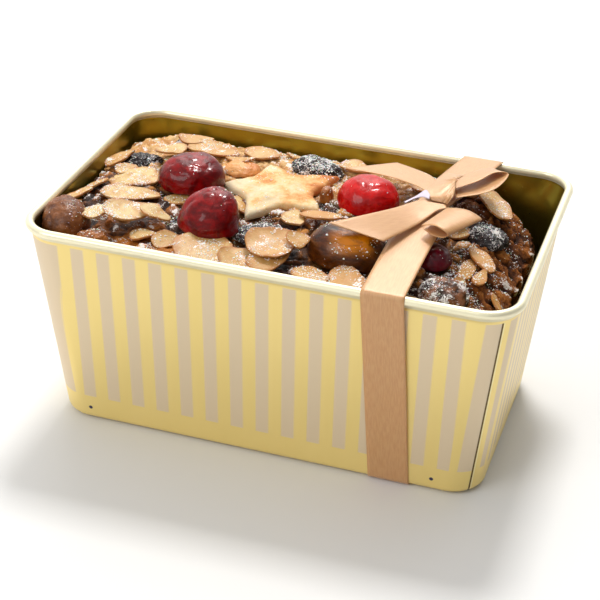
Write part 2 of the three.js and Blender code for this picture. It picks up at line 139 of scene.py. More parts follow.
floor_corners = np.array(((-1, -1, 0), (1, -1, 0), (1, 1, 0), (-1, 1, 0))) * FLOOR_REACH
floor = mesh_piece("floor", floor_corners, [(0, 1, 2, 3)], smooth=False)


class Wire:
    """A shader socket that can be added, multiplied and so on; each step adds a Math node."""

    def __init__(self, finish, socket):
        self.finish = finish
        self.socket = socket

    def math(self, operation, *values):
        return self.finish.add("Math", {"operation": operation}, dict(enumerate(values)))

    def __add__(self, other):
        return self.math("ADD", self, other)

    def __sub__(self, other):
        return self.math("SUBTRACT", self, other)

    def __rsub__(self, other):
        return self.math("SUBTRACT", other, self)

    def __mul__(self, other):
        return self.math("MULTIPLY", self, other)

    def __pow__(self, other):
        return self.math("POWER", self, other)

    __radd__ = __add__
    __rmul__ = __mul__

    def wave(self):
        return self.math("SINE", self)

    def share_of_one(self):
        return self.math("FRACT", self)

    def size(self):
        return self.math("ABSOLUTE", self)

    def least(self, other):
        return self.math("MINIMUM", self, other)

    def most(self, other):
        return self.math("MAXIMUM", self, other)

    def rise(self, low, high):
        """0 below low, 1 above high, eased between."""
        return self.finish.add("MapRange", {"interpolation_type": "SMOOTHSTEP"}, {0: self, 1: low, 2: high})

    def fall(self, low, high):
        """1 below low, 0 above high."""
        return 1 - self.rise(low, high)


class Finish:
    """One material, or the sky: its shader and the nodes that vary it."""

    def __init__(self, name, sky=False, **constants):
        self.material = bpy.data.worlds.new(name) if sky else bpy.data.materials.new(name)
        self.material.use_nodes = True
        self.tree = self.material.node_tree
        self.shader = self.tree.nodes["Background" if sky else "Principled BSDF"]
        for socket, value in constants.items():
            self.shader.inputs[socket.replace("_", " ")].default_value = value

    def add(self, kind, settings=None, sockets=None, out=0):
        """Adds a node: its type, its settings (a ramp's stops among them), its sockets' values or links."""
        node = self.tree.nodes.new("ShaderNode" + kind)
        for key, value in (settings or {}).items():
            if key == "stops":
                while len(node.color_ramp.elements) < len(value):
                    node.color_ramp.elements.new(0.5)
                for element, (position, colour) in zip(node.color_ramp.elements, value):
                    element.position = position
                    element.color = colour
            else:
                setattr(node, key, value)
        for key, value in (sockets or {}).items():
            if isinstance(value, Wire):
                self.tree.links.new(value.socket, node.inputs[key])
            else:
                node.inputs[key].default_value = value
        return Wire(self, node.outputs[out])

    def place(self):
        """Object coordinates in millimetres."""
        here = self.add("TexCoord", out="Object")
        return self.add("VectorMath", {"operation": "SCALE"}, {0: here, "Scale": 1000.0})

    def axes(self, vector):
        """The three parts of a vector."""
        split = self.add("SeparateXYZ", None, {0: vector})
        return [Wire(self, split.socket.node.outputs[axis]) for axis in range(3)]

    def stretched(self, vector, scale):
        """A vector with each part multiplied by its own number."""
        return self.add("VectorMath", {"operation": "MULTIPLY"}, {0: vector, 1: scale})

    def grain(self, vector, size, detail=3.0, roughness=0.55, warp=0.0):
        """Cloudy noise from 0 to 1 whose largest blots are about size millimetres across."""
        return self.add("TexNoise", None, {"Vector": vector, "Scale": 1 / size, "Detail": detail,
                                           "Roughness": roughness, "Distortion": warp})

    def blend(self, share, first, second):
        """Mixes two colours by a share from 0 to 1."""
        return self.add("Mix", {"data_type": "RGBA"}, {0: share, 6: first, 7: second}, out=2)

    def ramp(self, share, *stops):
        """A colour from a scale of stops."""
        return self.add("ValToRGB", {"stops": stops}, {0: share})

    def bump(self, height, distance, strength=1.0):
        """Tilts the normal by a height from 0 to 1 that stands for a depth in millimetres."""
        return self.add("Bump", None, {"Height": height, "Distance": distance * MM, "Strength": strength})

    def dusted(self, here, colour, cover, ridges):
        """The colour under a dusting of sugar, and the mask of its white specks: their share of the surface
        grows with cover, from 0 to 1, and they gather in drifts and on the ridges."""
        drift = self.grain(here, 4.5, detail=2.0)
        speck = self.grain(here, 0.55, detail=2.0, roughness=0.6)
        level = speck + (drift - 0.5) * 1.5 + (ridges - 0.5) * 0.8
        mask = level.rise(0.88 - 0.5 * cover, 1.02 - 0.5 * cover)
        return self.blend(mask * 0.9, colour, dye(246, 240, 236)), mask

    def feed(self, **links):
        """Links what varies to the shader."""
        for socket, wire in links.items():
            self.tree.links.new(wire.socket, self.shader.inputs[socket.replace("_", " ")])


sky = Finish("sky", sky=True, Color=(1, 0.995, 0.985, 1))
toward_right, toward_back, overhead = sky.axes(sky.add("TexCoord", out="Generated"))
sky_light = overhead.rise(-0.1, 0.75) * 0.2 + toward_back.rise(-0.4, 0.9) * 0.5 + 0.5
sky.feed(Strength=sky_light * (1 - toward_right.rise(0.05, 0.75) * 0.75))
bpy.context.scene.world = sky.material

pale = Finish("pale_floor", Roughness=0.75)
cloud = pale.grain(pale.place(), 900.0)
pale.feed(Base_Color=pale.blend(cloud, dye(222, 222, 222), dye(226, 226, 226)))
floor.data.materials.append(pale.material)

# ------------------------------------------------------------------------------------------- tin
# Thin tinplate, drawn out wider towards its rim, with a pressed base and a rolled edge. The wall is
# lacquered gold and printed with taupe stripes that stop above the base; inside, the same gold is
# darkened to olive as painted shade.

TIN_LIFT = 0.4
RIM_HEIGHT = 75.75
RIM_HALF = (83.5, 52.4)
BASE_HALF = (76.05, 44.63)
CORNER = 11.7
BEAD = 1.5
WALL = 0.9
BASE_EDGE = 2.5
PANEL_INSET = 10
PANEL_RISE = 0.8
ROUNDER = 7.5  # how much rounder the back right corner is below its rim

STRIPE = 4.6
STRIPE_PITCH = (4.54, 0.072)  # between stripe edges at their foot, and how much more at the rim
FIRST_STRIPE = (-69.75, 0.1)  # where the first edge is at its foot, and how far right it goes
STRIPE_FOOT, STRIPE_TOP = 10.2, 72.2
FRONT_STRIPES, BACK_STRIPES = 31, 29
ROLLED, INNER = 200, 400  # added to the v of the map on the rolled edge and inside


def wall_half(height):
    """Half length and half depth of the tin's wall: base size plus a share of the way to the rim's."""
    share = np.clip(np.asarray(height, float) / RIM_HEIGHT, 0, 1)
    return [base + (rim - base) * share for base, rim in zip(BASE_HALF, RIM_HALF)]


def rounded_walk(arc_steps, long_steps, short_steps):
    """Steps round a rounded rectangle as five rows: side shares X and Y, outward nx and ny, and the corner
    number, which goes from corner to corner along each side. A place is the straight half size times X or
    Y, plus the corner radius times nx or ny."""
    turn = np.linspace(0, np.pi / 2, arc_steps + 1)
    corners = []
    for number, (sign_x, sign_y) in enumerate(((1, -1), (1, 1), (-1, 1), (-1, -1))):
        if number % 2:
            across, deep = np.cos(turn), np.sin(turn)
        else:
            across, deep = np.sin(turn), np.cos(turn)
        ones = np.ones(arc_steps + 1)
        corners.append(np.stack((sign_x * ones, sign_y * ones, sign_x * across, sign_y * deep,
                                 number * ones)))
    walk = []
    for number, steps in enumerate((short_steps, long_steps, short_steps, long_steps)):
        after = corners[(number + 1) % 4][:, :1].copy()
        if number == 3:
            after[4] = 4
        share = np.arange(1, steps) / steps
        walk += [corners[number], corners[number][:, -1:] * (1 - share) + after * share]
    return np.concatenate(walk, axis=1)


def skin_faces(rows, columns, wrap_rows=False):
    """Faces over a grid that wraps along its columns: the quads, then for each open end of the rows a fan to
    one more point, numbered after the grid's own."""
    row, column = np.meshgrid(np.arange(rows if wrap_rows else rows - 1), np.arange(columns), indexing="ij")
    after_row, after_column = (row + 1) % rows, (column + 1) % columns
    corners = ((row, column), (row, after_column), (after_row, after_column), (after_row, column))
    groups = [np.stack([r * columns + c for r, c in corners], axis=-1).reshape(-1, 4)]
    if not wrap_rows:
        here = np.arange(columns)
        beyond = (here + 1) % columns
        last = (rows - 1) * columns
        groups.append(np.stack((np.full(columns, rows * columns), beyond, here), axis=-1))
        groups.append(np.stack((np.full(columns, rows * columns + 1), last + here, last + beyond), axis=-1))
    return groups


def capped(grid):
    """A grid's points in a list, and after them the middles of its first and last rows."""
    return np.concatenate((grid.reshape(-1, 3), [grid[0].mean(axis=0)], [grid[-1].mean(axis=0)]))


def add_map(piece, uv):
    piece.data.uv_layers.new(name="map").data.foreach_set("uv", uv.astype(np.float32).ravel())


def add_marks(piece, values):
    marks = piece.data.attributes.new("mark", "FLOAT", "POINT")
    marks.data.foreach_set("value", np.asarray(values, np.float32))


def surface(name, grid, uv=None, wrap_rows=False, marks=None):
    """A closed smooth skin through a grid of points in millimetres that wraps along its columns. Open ends of
    the rows are closed with a fan to their middle, and the faces are turned round if the volume comes out
    below nothing. uv has one column more than the grid, and one row more where the rows wrap."""
    rows, columns = grid.shape[:2]
    groups = skin_faces(rows, columns, wrap_rows)
    points = grid.reshape(-1, 3) if wrap_rows else capped(grid)
    volume = 0
    for group in groups:
        a, b, c = points[group[:, 0]], points[group[:, 1]], points[group[:, 2]]
        volume += np.einsum("ij,ij->i", a, np.cross(b, c)).sum()
        if group.shape[1] == 4:
            volume += np.einsum("ij,ij->i", a, np.cross(c, points[group[:, 3]])).sum()
    order = -1 if volume < 0 else 1
    piece = mesh_piece(name, points, [face for group in groups for face in group[:, ::order].tolist()])
    if uv is not None:
        row, column = np.divmod(np.arange(len(groups[0])), columns)
        steps = ((row, column), (row, column + 1), (row + 1, column + 1), (row + 1, column))
        parts = [np.stack([uv[place] for place in steps], axis=1)[:, ::order].reshape(-1, 2)]
        for end, group in zip((0, -1), groups[1:]):
            parts.append(np.repeat(uv[end].mean(axis=0)[None], group.size, axis=0))
        add_map(piece, np.concatenate(parts))
    if marks is not None:
        add_marks(piece, np.concatenate((marks.ravel(), [marks[0].mean(), marks[-1].mean()]))[:len(points)])
    return piece


def tin_profile():
    """The wall's section as rows of offset from the wall's outline, height, and v of the map: the pressed
    base, its rounded edge, up the wall, round the rolled edge as an arc, down inside and over the floor."""
    quarter = np.radians(np.linspace(0, 90, 9))
    lift = np.linspace(BASE_EDGE, RIM_HEIGHT - BEAD, 34)[1:-1]
    meet = np.degrees(np.arccos(WALL / BEAD)) + 180
    roll = np.radians(np.linspace(-90, meet, 26))
    inward = np.linspace(RIM_HEIGHT - 2, WALL + 2, 16)
    inmost = -60  # more than half the tin's depth
    rows = [(inmost, PANEL_RISE), (-PANEL_INSET - 1.6, PANEL_RISE), (-PANEL_INSET - 1.4, PANEL_RISE),
            (-PANEL_INSET, 0.02), (-PANEL_INSET + 0.3, 0)]
    rows += list(zip(BASE_EDGE * (np.sin(quarter) - 1), BASE_EDGE * (1 - np.cos(quarter))))
    rows += [(0, height) for height in lift]
    outside = len(rows)
    heights = RIM_HEIGHT + BEAD * np.sin(roll)
    rows += list(zip(BEAD * np.cos(roll) + RIM_HALF[0] - wall_half(heights)[0], heights))
    rolled = len(rows)
    rows += [(-WALL, height) for height in inward]
    rows += list(zip(-WALL - 2 * (1 - np.cos(quarter)), WALL + 2 * (1 - np.sin(quarter))))
    rows += [(-PANEL_INSET + 0.9, WALL), (-PANEL_INSET - 0.6, WALL + PANEL_RISE),
             (inmost + 0.9, WALL + PANEL_RISE)]
    offset, height = np.array(rows, float).T
    v = height.copy()
    v[outside:rolled] = ROLLED + np.degrees(roll) / 10
    v[rolled:] += INNER
    return offset, height, v


def stripe_number(walk, height):
    """How many stripe edges lie between the first one and each place round the wall. Edges run up the long
    walls about 4.6 mm apart, a little more on the back, fan out round the corners at fixed turns, and go on
    up the end walls."""
    share = ((height - STRIPE_FOOT) / (RIM_HEIGHT - STRIPE_FOOT))[:, None]
    half_x, half_y = [half[:, None] - CORNER for half in wall_half(height)]
    first = FIRST_STRIPE[0] + FIRST_STRIPE[1] * share
    pitch = STRIPE_PITCH[0] + STRIPE_PITCH[1] * share
    along = (walk[0] * half_x - first) / pitch
    back = walk[1] > 0
    along = np.where(back, FRONT_STRIPES - BACK_STRIPES + along * BACK_STRIPES / FRONT_STRIPES, along)
    turn = np.degrees(np.arctan2(np.abs(walk[2]), np.abs(walk[3])))
    end = 1.4 + (RIM_HALF[1] - CORNER - half_y) / STRIPE
    beyond = (1 - np.abs(walk[1])) * half_y / STRIPE

    def part(start, stop):
        """How far the corner's turn is from one angle to another, from 0 to 1."""
        return np.clip((turn - start) / (stop - start), 0, 1)

    right = along + (FRONT_STRIPES - along) * part(0, 16) + part(16, 43) + part(43, 58)
    front_left = np.maximum(along, 0) * (1 - part(0, 22)) + (np.minimum(along, 0) + 1) * (1 - part(0, 66))
    left = np.where(back, (along + 1) * (1 - part(0, 66)), front_left) - 1
    return np.where(walk[0] > 0, right + end * part(58, 90) + beyond, left - end * part(66, 90) - beyond)


walk = rounded_walk(24, 60, 30)
offset, height, v = tin_profile()
half_x, half_y = wall_half(height)
below_rim = np.clip((RIM_HEIGHT - 2 - height) / 9, 0, 1)[:, None]
at_back_right = np.clip(1 - np.abs(walk[4] - 1), 0, 1)
radius = np.maximum(CORNER + offset, 0.5)[:, None] + ROUNDER * (below_rim * at_back_right)
reach_x = np.maximum((half_x + offset)[:, None] - radius, 2)
reach_y = np.maximum((half_y + offset)[:, None] - radius, 2)
tin_grid = np.stack((reach_x * walk[0] + radius * walk[2], reach_y * walk[1] + radius * walk[3],
                     height[:, None] + TIN_LIFT + 0 * radius), axis=-1)
tin_map = np.stack((stripe_number(walk, height), np.repeat(v[:, None], walk.shape[1], axis=1)), axis=-1)
tin_map = np.concatenate((tin_map, tin_map[:, :1]), axis=1)
tin = surface("tin_body", tin_grid, uv=tin_map)

lacquer = Finish("gold_lacquer", Coat_Roughness=0.12, Specular_IOR_Level=0.3)
along, up, _ = lacquer.axes(lacquer.add("UVMap", {"uv_map": "map"}))
here = lacquer.place()
place_x, place_y, place_z = lacquer.axes(here)
beat = (along * 0.5).share_of_one()
taupe = beat.rise(0.475, 0.525) * (1 - beat.rise(0.965, 1.0)) + beat.fall(0.0, 0.02)
taupe = taupe.least(1.0) * up.rise(STRIPE_FOOT - 0.2, STRIPE_FOOT + 0.2)
taupe = taupe * up.fall(STRIPE_TOP - 0.2, STRIPE_TOP + 0.2)
inside = up.rise(ROLLED + 100, ROLLED + 120)
rolled = up.rise(120, 150) * (1 - inside)
mottle = lacquer.grain(lacquer.stretched(here, (1, 1, 0.25)), 16.0, detail=4.0)
gold = lacquer.blend(mottle, dye(240, 214, 134), dye(246, 221, 146))
colour = lacquer.blend(taupe, gold, dye(222, 202, 170))
colour = lacquer.blend(rolled, colour, dye(248, 240, 206))
# painted shade: inside the tin the same gold lacquer is given a darker olive colour
colour = lacquer.blend(inside, colour, dye(158, 140, 50))
at_seam = place_y.fall(-30, -20) * place_x.rise(20, 30) * up.fall(73, 74)
seam = (along - 32.04).size().fall(0.05, 0.12) * at_seam
seam_ridge_and_highlight = (along - 32.22).size().fall(0.04, 0.11) * at_seam
colour = lacquer.blend(seam, colour, dye(88, 66, 8))
# painted highlight: a pale line along the raised edge of the lap seam
colour = lacquer.blend(seam_ridge_and_highlight * 0.7, colour, dye(250, 240, 190))
dots = 0
for dot_x, dot_z in ((-63.3, 5.5), (60.2, 5.6)):
    gap = ((place_x - dot_x) ** 2 + (place_z - dot_z) ** 2) ** 0.5
    dots = gap.fall(0.62, 0.78) + dots
dots = dots * place_y.fall(-40, -38)
colour = lacquer.blend(dots.least(1.0), colour, dye(60, 58, 82))
scuffs = lacquer.grain(here, 1.4, detail=2.0)
lacquer.feed(
    Base_Color=colour,
    Metallic=0.55 - 0.15 * taupe - 0.15 * rolled + 0.35 * inside - 0.4 * dots - 0.4 * seam,
    Roughness=0.36 + 0.10 * taupe - 0.06 * rolled - 0.10 * inside + 0.05 * scuffs,
    Coat_Weight=0.08 + 0.08 * taupe,
    Normal=lacquer.bump((mottle * 0.35 + seam_ridge_and_highlight * 0.8 - seam * 0.8 + scuffs * 0.05) * (1 - inside), 0.1))
tin.data.materials.append(lacquer.material)
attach(tin, "root")
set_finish(tin, "tin")
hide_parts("tin")

# ------------------------------------------------------------------------------------------ cake
# A dense dark fruit cake that fills the tin: a baked, caramelised crust with sunken and raised
# places, and a right end that has crumbled open so that its coarse crumb shows.

CAKE_FIT = 0.45
CAKE_BASE = 2.6
CAKE_CROWN = 74.2
CAKE_END = 77.3
CAKE_CORNERS = np.array((11, 28, 12, 11, 11), float)  # front right, back right, back left, front left


def ease(low, high, value):
    """0 below low, 1 above high, 3t^2 - 2t^3 between."""
    t = np.clip((value - low) / (high - low), 0, 1)
    return t * t * (3 - 2 * t)


def hashed(cell, seed):
    """A random number from -1 to 1 for each whole-numbered cell: its numbers mixed by large odd factors."""
    key = cell @ np.array((374761393, 668265263, 974634777)) + seed * 1274126177
    key = key & 0xFFFFFFFF
    key = ((key ^ (key >> 13)) * 1274126177) & 0xFFFFFFFF
    key = ((key ^ (key >> 15)) * 2246822519) & 0xFFFFFFFF
    return (key ^ (key >> 16)) / 2147483647.5 - 1


def cloud_noise(points, seed):
    """Smooth random value from -1 to 1: a hashed number on each corner of the unit cell round a point,
    blended across the cell by the eased place inside it."""
    cell = np.floor(points).astype(np.int64)
    part = points - cell
    part = part * part * (3 - 2 * part)
    total = 0
    for corner in range(8):
        step = np.array((corner & 1, corner >> 1 & 1, corner >> 2))
        total = total + hashed(cell + step, seed) * np.prod(np.where(step, part, 1 - part), axis=-1)
    return total


def cobbles(points, size, seed):
    """Rounded lumps: one scattered centre in each cell of the given size. Returns how far inside its lump
    each point is (the second nearest centre's distance less the nearest's) and the lump's random number."""
    scaled = points / size
    cell = np.floor(scaled).astype(np.int64)
    near = np.full(points.shape[:-1], 9.0)
    second, own = near.copy(), np.zeros(points.shape[:-1])
    for step in np.ndindex(3, 3, 3):
        corner = cell + np.array(step) - 1
        centre = corner + 0.5 + 0.42 * np.stack([hashed(corner, seed + axis) for axis in range(3)], axis=-1)
        gap = np.linalg.norm(centre - scaled, axis=-1)
        second = np.where(gap < near, near, np.minimum(second, gap))
        own = np.where(gap < near, hashed(corner, seed + 3), own)
        near = np.minimum(near, gap)
    return second - near, own


def layered_noise(points, size, layers, seed):
    """Sum of cloud noise whose size halves and whose strength is 0.55 of the last, layer by layer."""
    total, strength = 0, 1.0
    for layer in range(layers):
        total = total + strength * cloud_noise(points / size * 2.0 ** layer + 17.3 * layer, seed + layer)
        strength = strength * 0.55
    return total


def creases(points, size, layers, seed):
    """Sharp valleys between rounded folds: 1 - |noise|, from about 0 to 1, highest along the valleys."""
    total, strength, whole = 0, 1.0, 0.0
    for layer in range(layers):
        fold = 1 - np.abs(cloud_noise(points / size * 2.0 ** layer + 9.1 * layer, seed + layer)) * 2.2
        total = total + strength * np.clip(fold, 0, 1)
        whole += strength
        strength = strength * 0.5
    return total / whole


def unit(vectors):
    return vectors / np.maximum(np.linalg.norm(vectors, axis=-1, keepdims=True), 1e-9)


def normals(grid):
    """Unit normals of a grid that wraps along its columns: the cross product of its two steps."""
    over = np.roll(grid, -1, axis=1) - np.roll(grid, 1, axis=1)
    return unit(np.cross(over, np.gradient(grid, axis=0)))


def cake_outline(walk, inset, z):
    """Level outline of the cake: the tin's inside less a small gap, short and round at its right end."""
    half_x, half_y = [half - WALL - CAKE_FIT - inset for half in wall_half(z - TIN_LIFT)]
    right = np.minimum(half_x, CAKE_END - inset)
    back = half_y - 2.4 * ease(30, 70, z)
    corner = np.interp(walk[4], np.arange(5), CAKE_CORNERS - np.minimum(inset, CAKE_CORNERS / 2))
    middle_x, reach_x = (right - half_x) / 2, (right + half_x) / 2 - corner
    middle_y, reach_y = (back - half_y) / 2, (back + half_y) / 2 - corner
    return np.stack((middle_x + walk[0] * reach_x + walk[2] * corner,
                     middle_y + walk[1] * reach_y + walk[3] * corner, z + 0 * corner), axis=-1)


def crust_height(x, y):
    """Low crown that falls to the long edges, with soft lumps, a little lower at the left end."""
    crown = CAKE_CROWN - 1.5 * (y / 46) ** 2
    lumps = 0.5 * np.sin(x / 11 + 1) * np.cos(y / 9) + 0.3 * np.sin(x / 5.3) * np.sin(y / 6.1)
    return crown + lumps - 1.2 * ease(-50, -80, x)


def edge_drop(x, distance):
    """How far the crust is below its crown at a distance in from the edge; the right end falls away more."""
    crumbled = ease(42, 74, x)
    drop = 3.4 + 7.6 * crumbled
    reach = 9 + 15 * crumbled
    return drop * (1 - np.minimum(1, distance / reach)) ** 2


def cake_grid():
    """Rows up the side from the base to the crust's edge, then rings over the crust towards its middle."""
    walk = rounded_walk(28, 112, 66)
    edge = cake_outline(walk, 0, np.full(walk.shape[1], 68.0))[..., :2]
    reach = np.hypot(edge[:, 0], edge[:, 1])
    share = np.concatenate(([1, 0.998, 0.993, 0.986], 1 - np.linspace(0.023, 1, 126)[:-1] ** 0.93))[:, None]
    x, y = edge[:, 0] * share, edge[:, 1] * share
    top = np.stack((x, y, crust_height(x, y) - edge_drop(x, reach * (1 - share))), axis=-1)
    base = cake_outline(walk, 2, np.full(walk.shape[1], CAKE_BASE))[None]
    climb = np.linspace(0, 1, 30)[:-1, None]
    z = (CAKE_BASE + 2) + (top[0, :, 2] - CAKE_BASE - 2) * climb
    side = np.stack([cake_outline(walk, 0, level) for level in z])
    toward = ease(0.45, 1, climb)[..., None]
    under_edge = np.concatenate((np.repeat(top[:1, :, :2], len(z), axis=0), z[..., None]), axis=-1)
    side = side * (1 - toward) + under_edge * toward
    return np.concatenate((base, side, top))


smooth_cake = cake_grid()
outward = normals(smooth_cake)
outward *= np.sign(outward[40, :, 2].mean())
x, y, z = np.moveaxis(smooth_cake, -1, 0)
open_crumb = ease(50, 66, x + 3 * cloud_noise(smooth_cake / 7, 5)) * ease(20, 60, z)
lump, cell_tone = cobbles(smooth_cake * np.array((1, 1, 1.4)), 6.0, 51)
bit, _ = cobbles(smooth_cake, 2.4, 61)
soft = 0.8 * layered_noise(smooth_cake, 9, 3, 11) - 0.5
at_back = ease(2, 24, y) * ease(50, 20, x)
lumpy = (1.5 + 0.5 * cell_tone - 0.7 * at_back) * (ease(0, 0.45, lump) - 0.75)
lumpy = lumpy + 0.45 * (ease(0, 0.5, bit) - 0.7)
torn = smooth_cake @ np.array(((0.9, 0.3, 0.0), (-0.35, 0.8, 0.1), (0.2, 0.1, 0.45)))
coarse = -2.6 * creases(torn, 7, 3, 41) + 0.9 * (ease(0, 0.5, bit) - 0.6)
coarse = coarse + 0.7 * layered_noise(smooth_cake, 3, 2, 47)
relief = (soft + lumpy) * (1 - open_crumb) + coarse * open_crumb
depth = 0.62 + np.where(open_crumb > 0.5, coarse * 0.22 + 0.12, lumpy * 0.55)
relief = np.where(z < 69, np.minimum(relief, 0.1), relief)
rows_left = len(smooth_cake) - np.arange(len(smooth_cake))[:, None]
relief = relief * ease(CAKE_BASE, CAKE_BASE + 6, z) * ease(-1, 9, rows_left)
baked_cake = smooth_cake + outward * relief[..., None]
shares = np.stack((cell_tone * 0.5 + 0.5, np.clip(depth, 0, 1)), axis=-1)
cake = surface("baked_loaf", baked_cake, uv=np.concatenate((shares, shares[:, :1]), axis=1), marks=open_crumb)

crumb = Finish("baked_crust", Specular_IOR_Level=0.28)
here = crumb.place()
x_mm, y_mm, z_mm = crumb.axes(here)
opened = crumb.add("Attribute", {"attribute_name": "mark"}, out="Fac")
lump_tone, ridge, _ = crumb.axes(crumb.add("UVMap", {"uv_map": "map"}))
patches = crumb.grain(here, 15.0, detail=4.0, warp=0.6)
blots = crumb.grain(here, 4.0, detail=5.0, roughness=0.65)
fine = crumb.grain(here, 0.9, detail=4.0, roughness=0.7)
crust_colour = crumb.ramp(
    lump_tone * 0.55 + blots * 0.6 - 0.08, (0.12, dye(38, 24, 20)), (0.3, dye(60, 32, 18)),
    (0.42, dye(128, 70, 26)), (0.6, dye(182, 112, 46)), (0.8, dye(224, 160, 84)))
golden = y_mm.rise(0, 20) * x_mm.fall(20, 50) * (patches + lump_tone * 0.2).rise(0.28, 0.46) * 0.95
honey = crumb.blend(blots.rise(0.4, 0.62), dye(204, 142, 76), dye(236, 192, 130))
crust_colour = crumb.blend(golden, crust_colour, honey)
caramelled = y_mm.fall(-40, -22) * x_mm.fall(-30, -10) * (blots * 0.6 + lump_tone * 0.4).rise(0.22, 0.5)
crust_colour = crumb.blend(caramelled * 0.9, crust_colour, dye(204, 122, 42))
# The open crumb runs from near black in its low places to golden on its ridges: partly its own tone, partly
# painted shade in the hollows.
crumb_colour = crumb.ramp(
    ridge * 0.55 + fine * 0.4 + blots * 0.15, (0.3, dye(30, 14, 6)), (0.48, dye(96, 50, 18)),
    (0.62, dye(164, 96, 40)), (0.8, dye(214, 146, 78)))
colour = crumb.blend(opened, crust_colour, crumb_colour)
# Painted shade: the crust is darkened to near black in its low places, less where it is golden or caramelled.
colour = crumb.blend(ridge.fall(0.1, 0.55) * (0.8 - golden * 0.5 - caramelled * 0.5), colour, dye(34, 17, 8))
colour = crumb.blend(z_mm.fall(48, 68) * 0.8, colour, dye(50, 28, 17))
colour, specks = crumb.dusted(here, colour, 0.42 - 0.14 * opened, ridge)
crumb.feed(
    Base_Color=colour,
    Roughness=(0.34 + 0.4 * opened + 0.25 * fine + specks * 0.4).least(0.95),
    Normal=crumb.bump(fine * (0.6 + opened) + blots * 0.8, 0.9, 1.0))
cake.data.materials.append(crumb.material)
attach(cake, "root")
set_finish(cake, "cake")
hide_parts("cake")

# -------------------------------------------------------------------------------------- cherries
# Glace cherries, halved and pressed cut side down into the crust: syrup-soaked, glossy and faintly
# wrinkled. The middle one is brighter and the one under the ribbon darker.

FOOT_ANGLE = -24  # how far a fruit's skin turns in under its widest place
CHERRY_SINK = 1.2


def node_points(node):
    """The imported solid's points in millimetres, each one once."""
    points = np.array([point.co for point in frame["nodes"][node].data.vertices]) / MM
    return np.unique(np.round(points, 4), axis=0)


def footing(node):
    """Where a laid topping is: the middle of its outline, its longer direction, half sizes along and across
    it, and its lowest and highest level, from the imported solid."""
    points = node_points(node)
    middle = (points[:, :2].max(axis=0) + points[:, :2].min(axis=0)) / 2
    flat = points[:, :2] - middle
    _, _, axes = np.linalg.svd(flat - flat.mean(axis=0), full_matrices=False)
    half = np.abs(flat @ axes.T).max(axis=0)
    return middle, np.arctan2(axes[0, 1], axes[0, 0]), half, points[:, 2].min(), points[:, 2].max()


def dome(node, sink, plump, crown, lean=(0, 0), rows=56, columns=96, spread=1.0, taller=0.3):
    """A fruit on a flat foot: at each turn the half size times cos^plump of the rise angle, and the height
    times sin^crown of it, leaning as it rises. It is sunk a little into the crust, and is wider than the
    solid by spread and higher by taller."""
    middle, direction, half, low, high = footing(node)
    half = half * spread
    rise = np.radians(np.linspace(FOOT_ANGLE, 90, rows))[:-1, None]
    turn = np.linspace(0, 2 * np.pi, columns, endpoint=False)[None]
    share = np.maximum(np.cos(rise), 1e-3) ** plump
    lifted = np.where(rise < 0, np.sin(rise) * 0.35, np.abs(np.sin(rise)) ** crown)
    height = high - low + taller
    bottom = low - sink + 0.1 * height
    u, v = half[0] * share * np.cos(turn), half[1] * share * np.sin(turn)
    up = np.clip(lifted, 0, 1)
    return np.stack((middle[0] + u * np.cos(direction) - v * np.sin(direction) + lean[0] * up,
                     middle[1] + u * np.sin(direction) + v * np.cos(direction) + lean[1] * up,
                     bottom + 0.9 * height * lifted + 0 * turn), axis=-1)


def pushed(grid, relief):
    """The grid moved out along its normals by a relief in millimetres, less near the top's pole."""
    out = normals(grid)
    out *= np.sign(out[-4, :, 2].mean())
    rows = np.arange(len(grid))[:, None]
    return grid + out * (relief * ease(0, 4, len(grid) - rows))[..., None]


# node: plump, crown, lean, shift from the solid
CHERRIES = {
    "cherry_back_left": (0.66, 0.9, (0.5, 0.6), (1.4, 0.3)),
    "cherry_front_left": (0.86, 0.85, (2.2, 1.6), (1.8, 0.3)),
    "cherry_middle": (0.66, 0.9, (0.3, 0.9), (0.3, 1.3)),
    "cherry_under_ribbon": (0.7, 1.0, (0, 0), (0, 0)),
}


def cherry_flesh(name, deep_colour, bright_colour, glow):
    """Syrupy cherry skin: a clear coat over red flesh in clouds of a deep and a bright red, with faint
    brighter fibres.
    """
    skin = Finish(name, Coat_Roughness=0.06, Subsurface_Weight=0.3, Subsurface_Scale=0.002,
                  Subsurface_Radius=(1.0, 0.06, 0.04), Specular_IOR_Level=0.12)
    here = skin.place()
    clouds = skin.grain(here, 6.0, detail=3.0, warp=0.8)
    fibres = skin.grain(here, 1.1, detail=3.0)
    wrinkles = skin.grain(skin.stretched(here, (1, 0.5, 1.3)), 3.2, detail=4.0, roughness=0.5, warp=1.6)
    colour = skin.blend(clouds.rise(0.35, 0.68), deep_colour, bright_colour)
    colour = skin.blend(fibres.rise(0.62, 0.75) * 0.2, colour, glow)
    skin.feed(Base_Color=colour, Roughness=0.24 + 0.12 * fibres, Coat_Weight=0.25 + 0.3 * clouds,
              Normal=skin.bump(wrinkles, 0.7, 0.6))
    return skin


ruby = cherry_flesh("ruby_cherry", dye(92, 2, 10), dye(146, 8, 12), dye(170, 26, 22))
scarlet = cherry_flesh("scarlet_cherry", dye(168, 2, 4), dye(204, 10, 4), dye(220, 40, 20))
damson = cherry_flesh("dark_cherry", dye(70, 8, 24), dye(108, 16, 34), dye(124, 34, 48))
CHERRY_SKINS = {"cherry_middle": scarlet, "cherry_under_ribbon": damson}  # the others are ruby

for seed, (node, (plump, crown, lean, shift)) in enumerate(CHERRIES.items()):
    shape = dome(node, CHERRY_SINK, plump, crown, lean) + np.array((*shift, 0))
    relief = 0.6 * layered_noise(shape, 8, 2, 60 + seed) - 0.4 * creases(shape, 6.5, 2, 70 + seed)
    cherry = surface("glace_" + node, pushed(shape, relief))
    cherry.data.materials.append(CHERRY_SKINS.get(node, ruby).material)
    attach(cherry, "root")
    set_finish(cherry, "cherry")
    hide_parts(node)

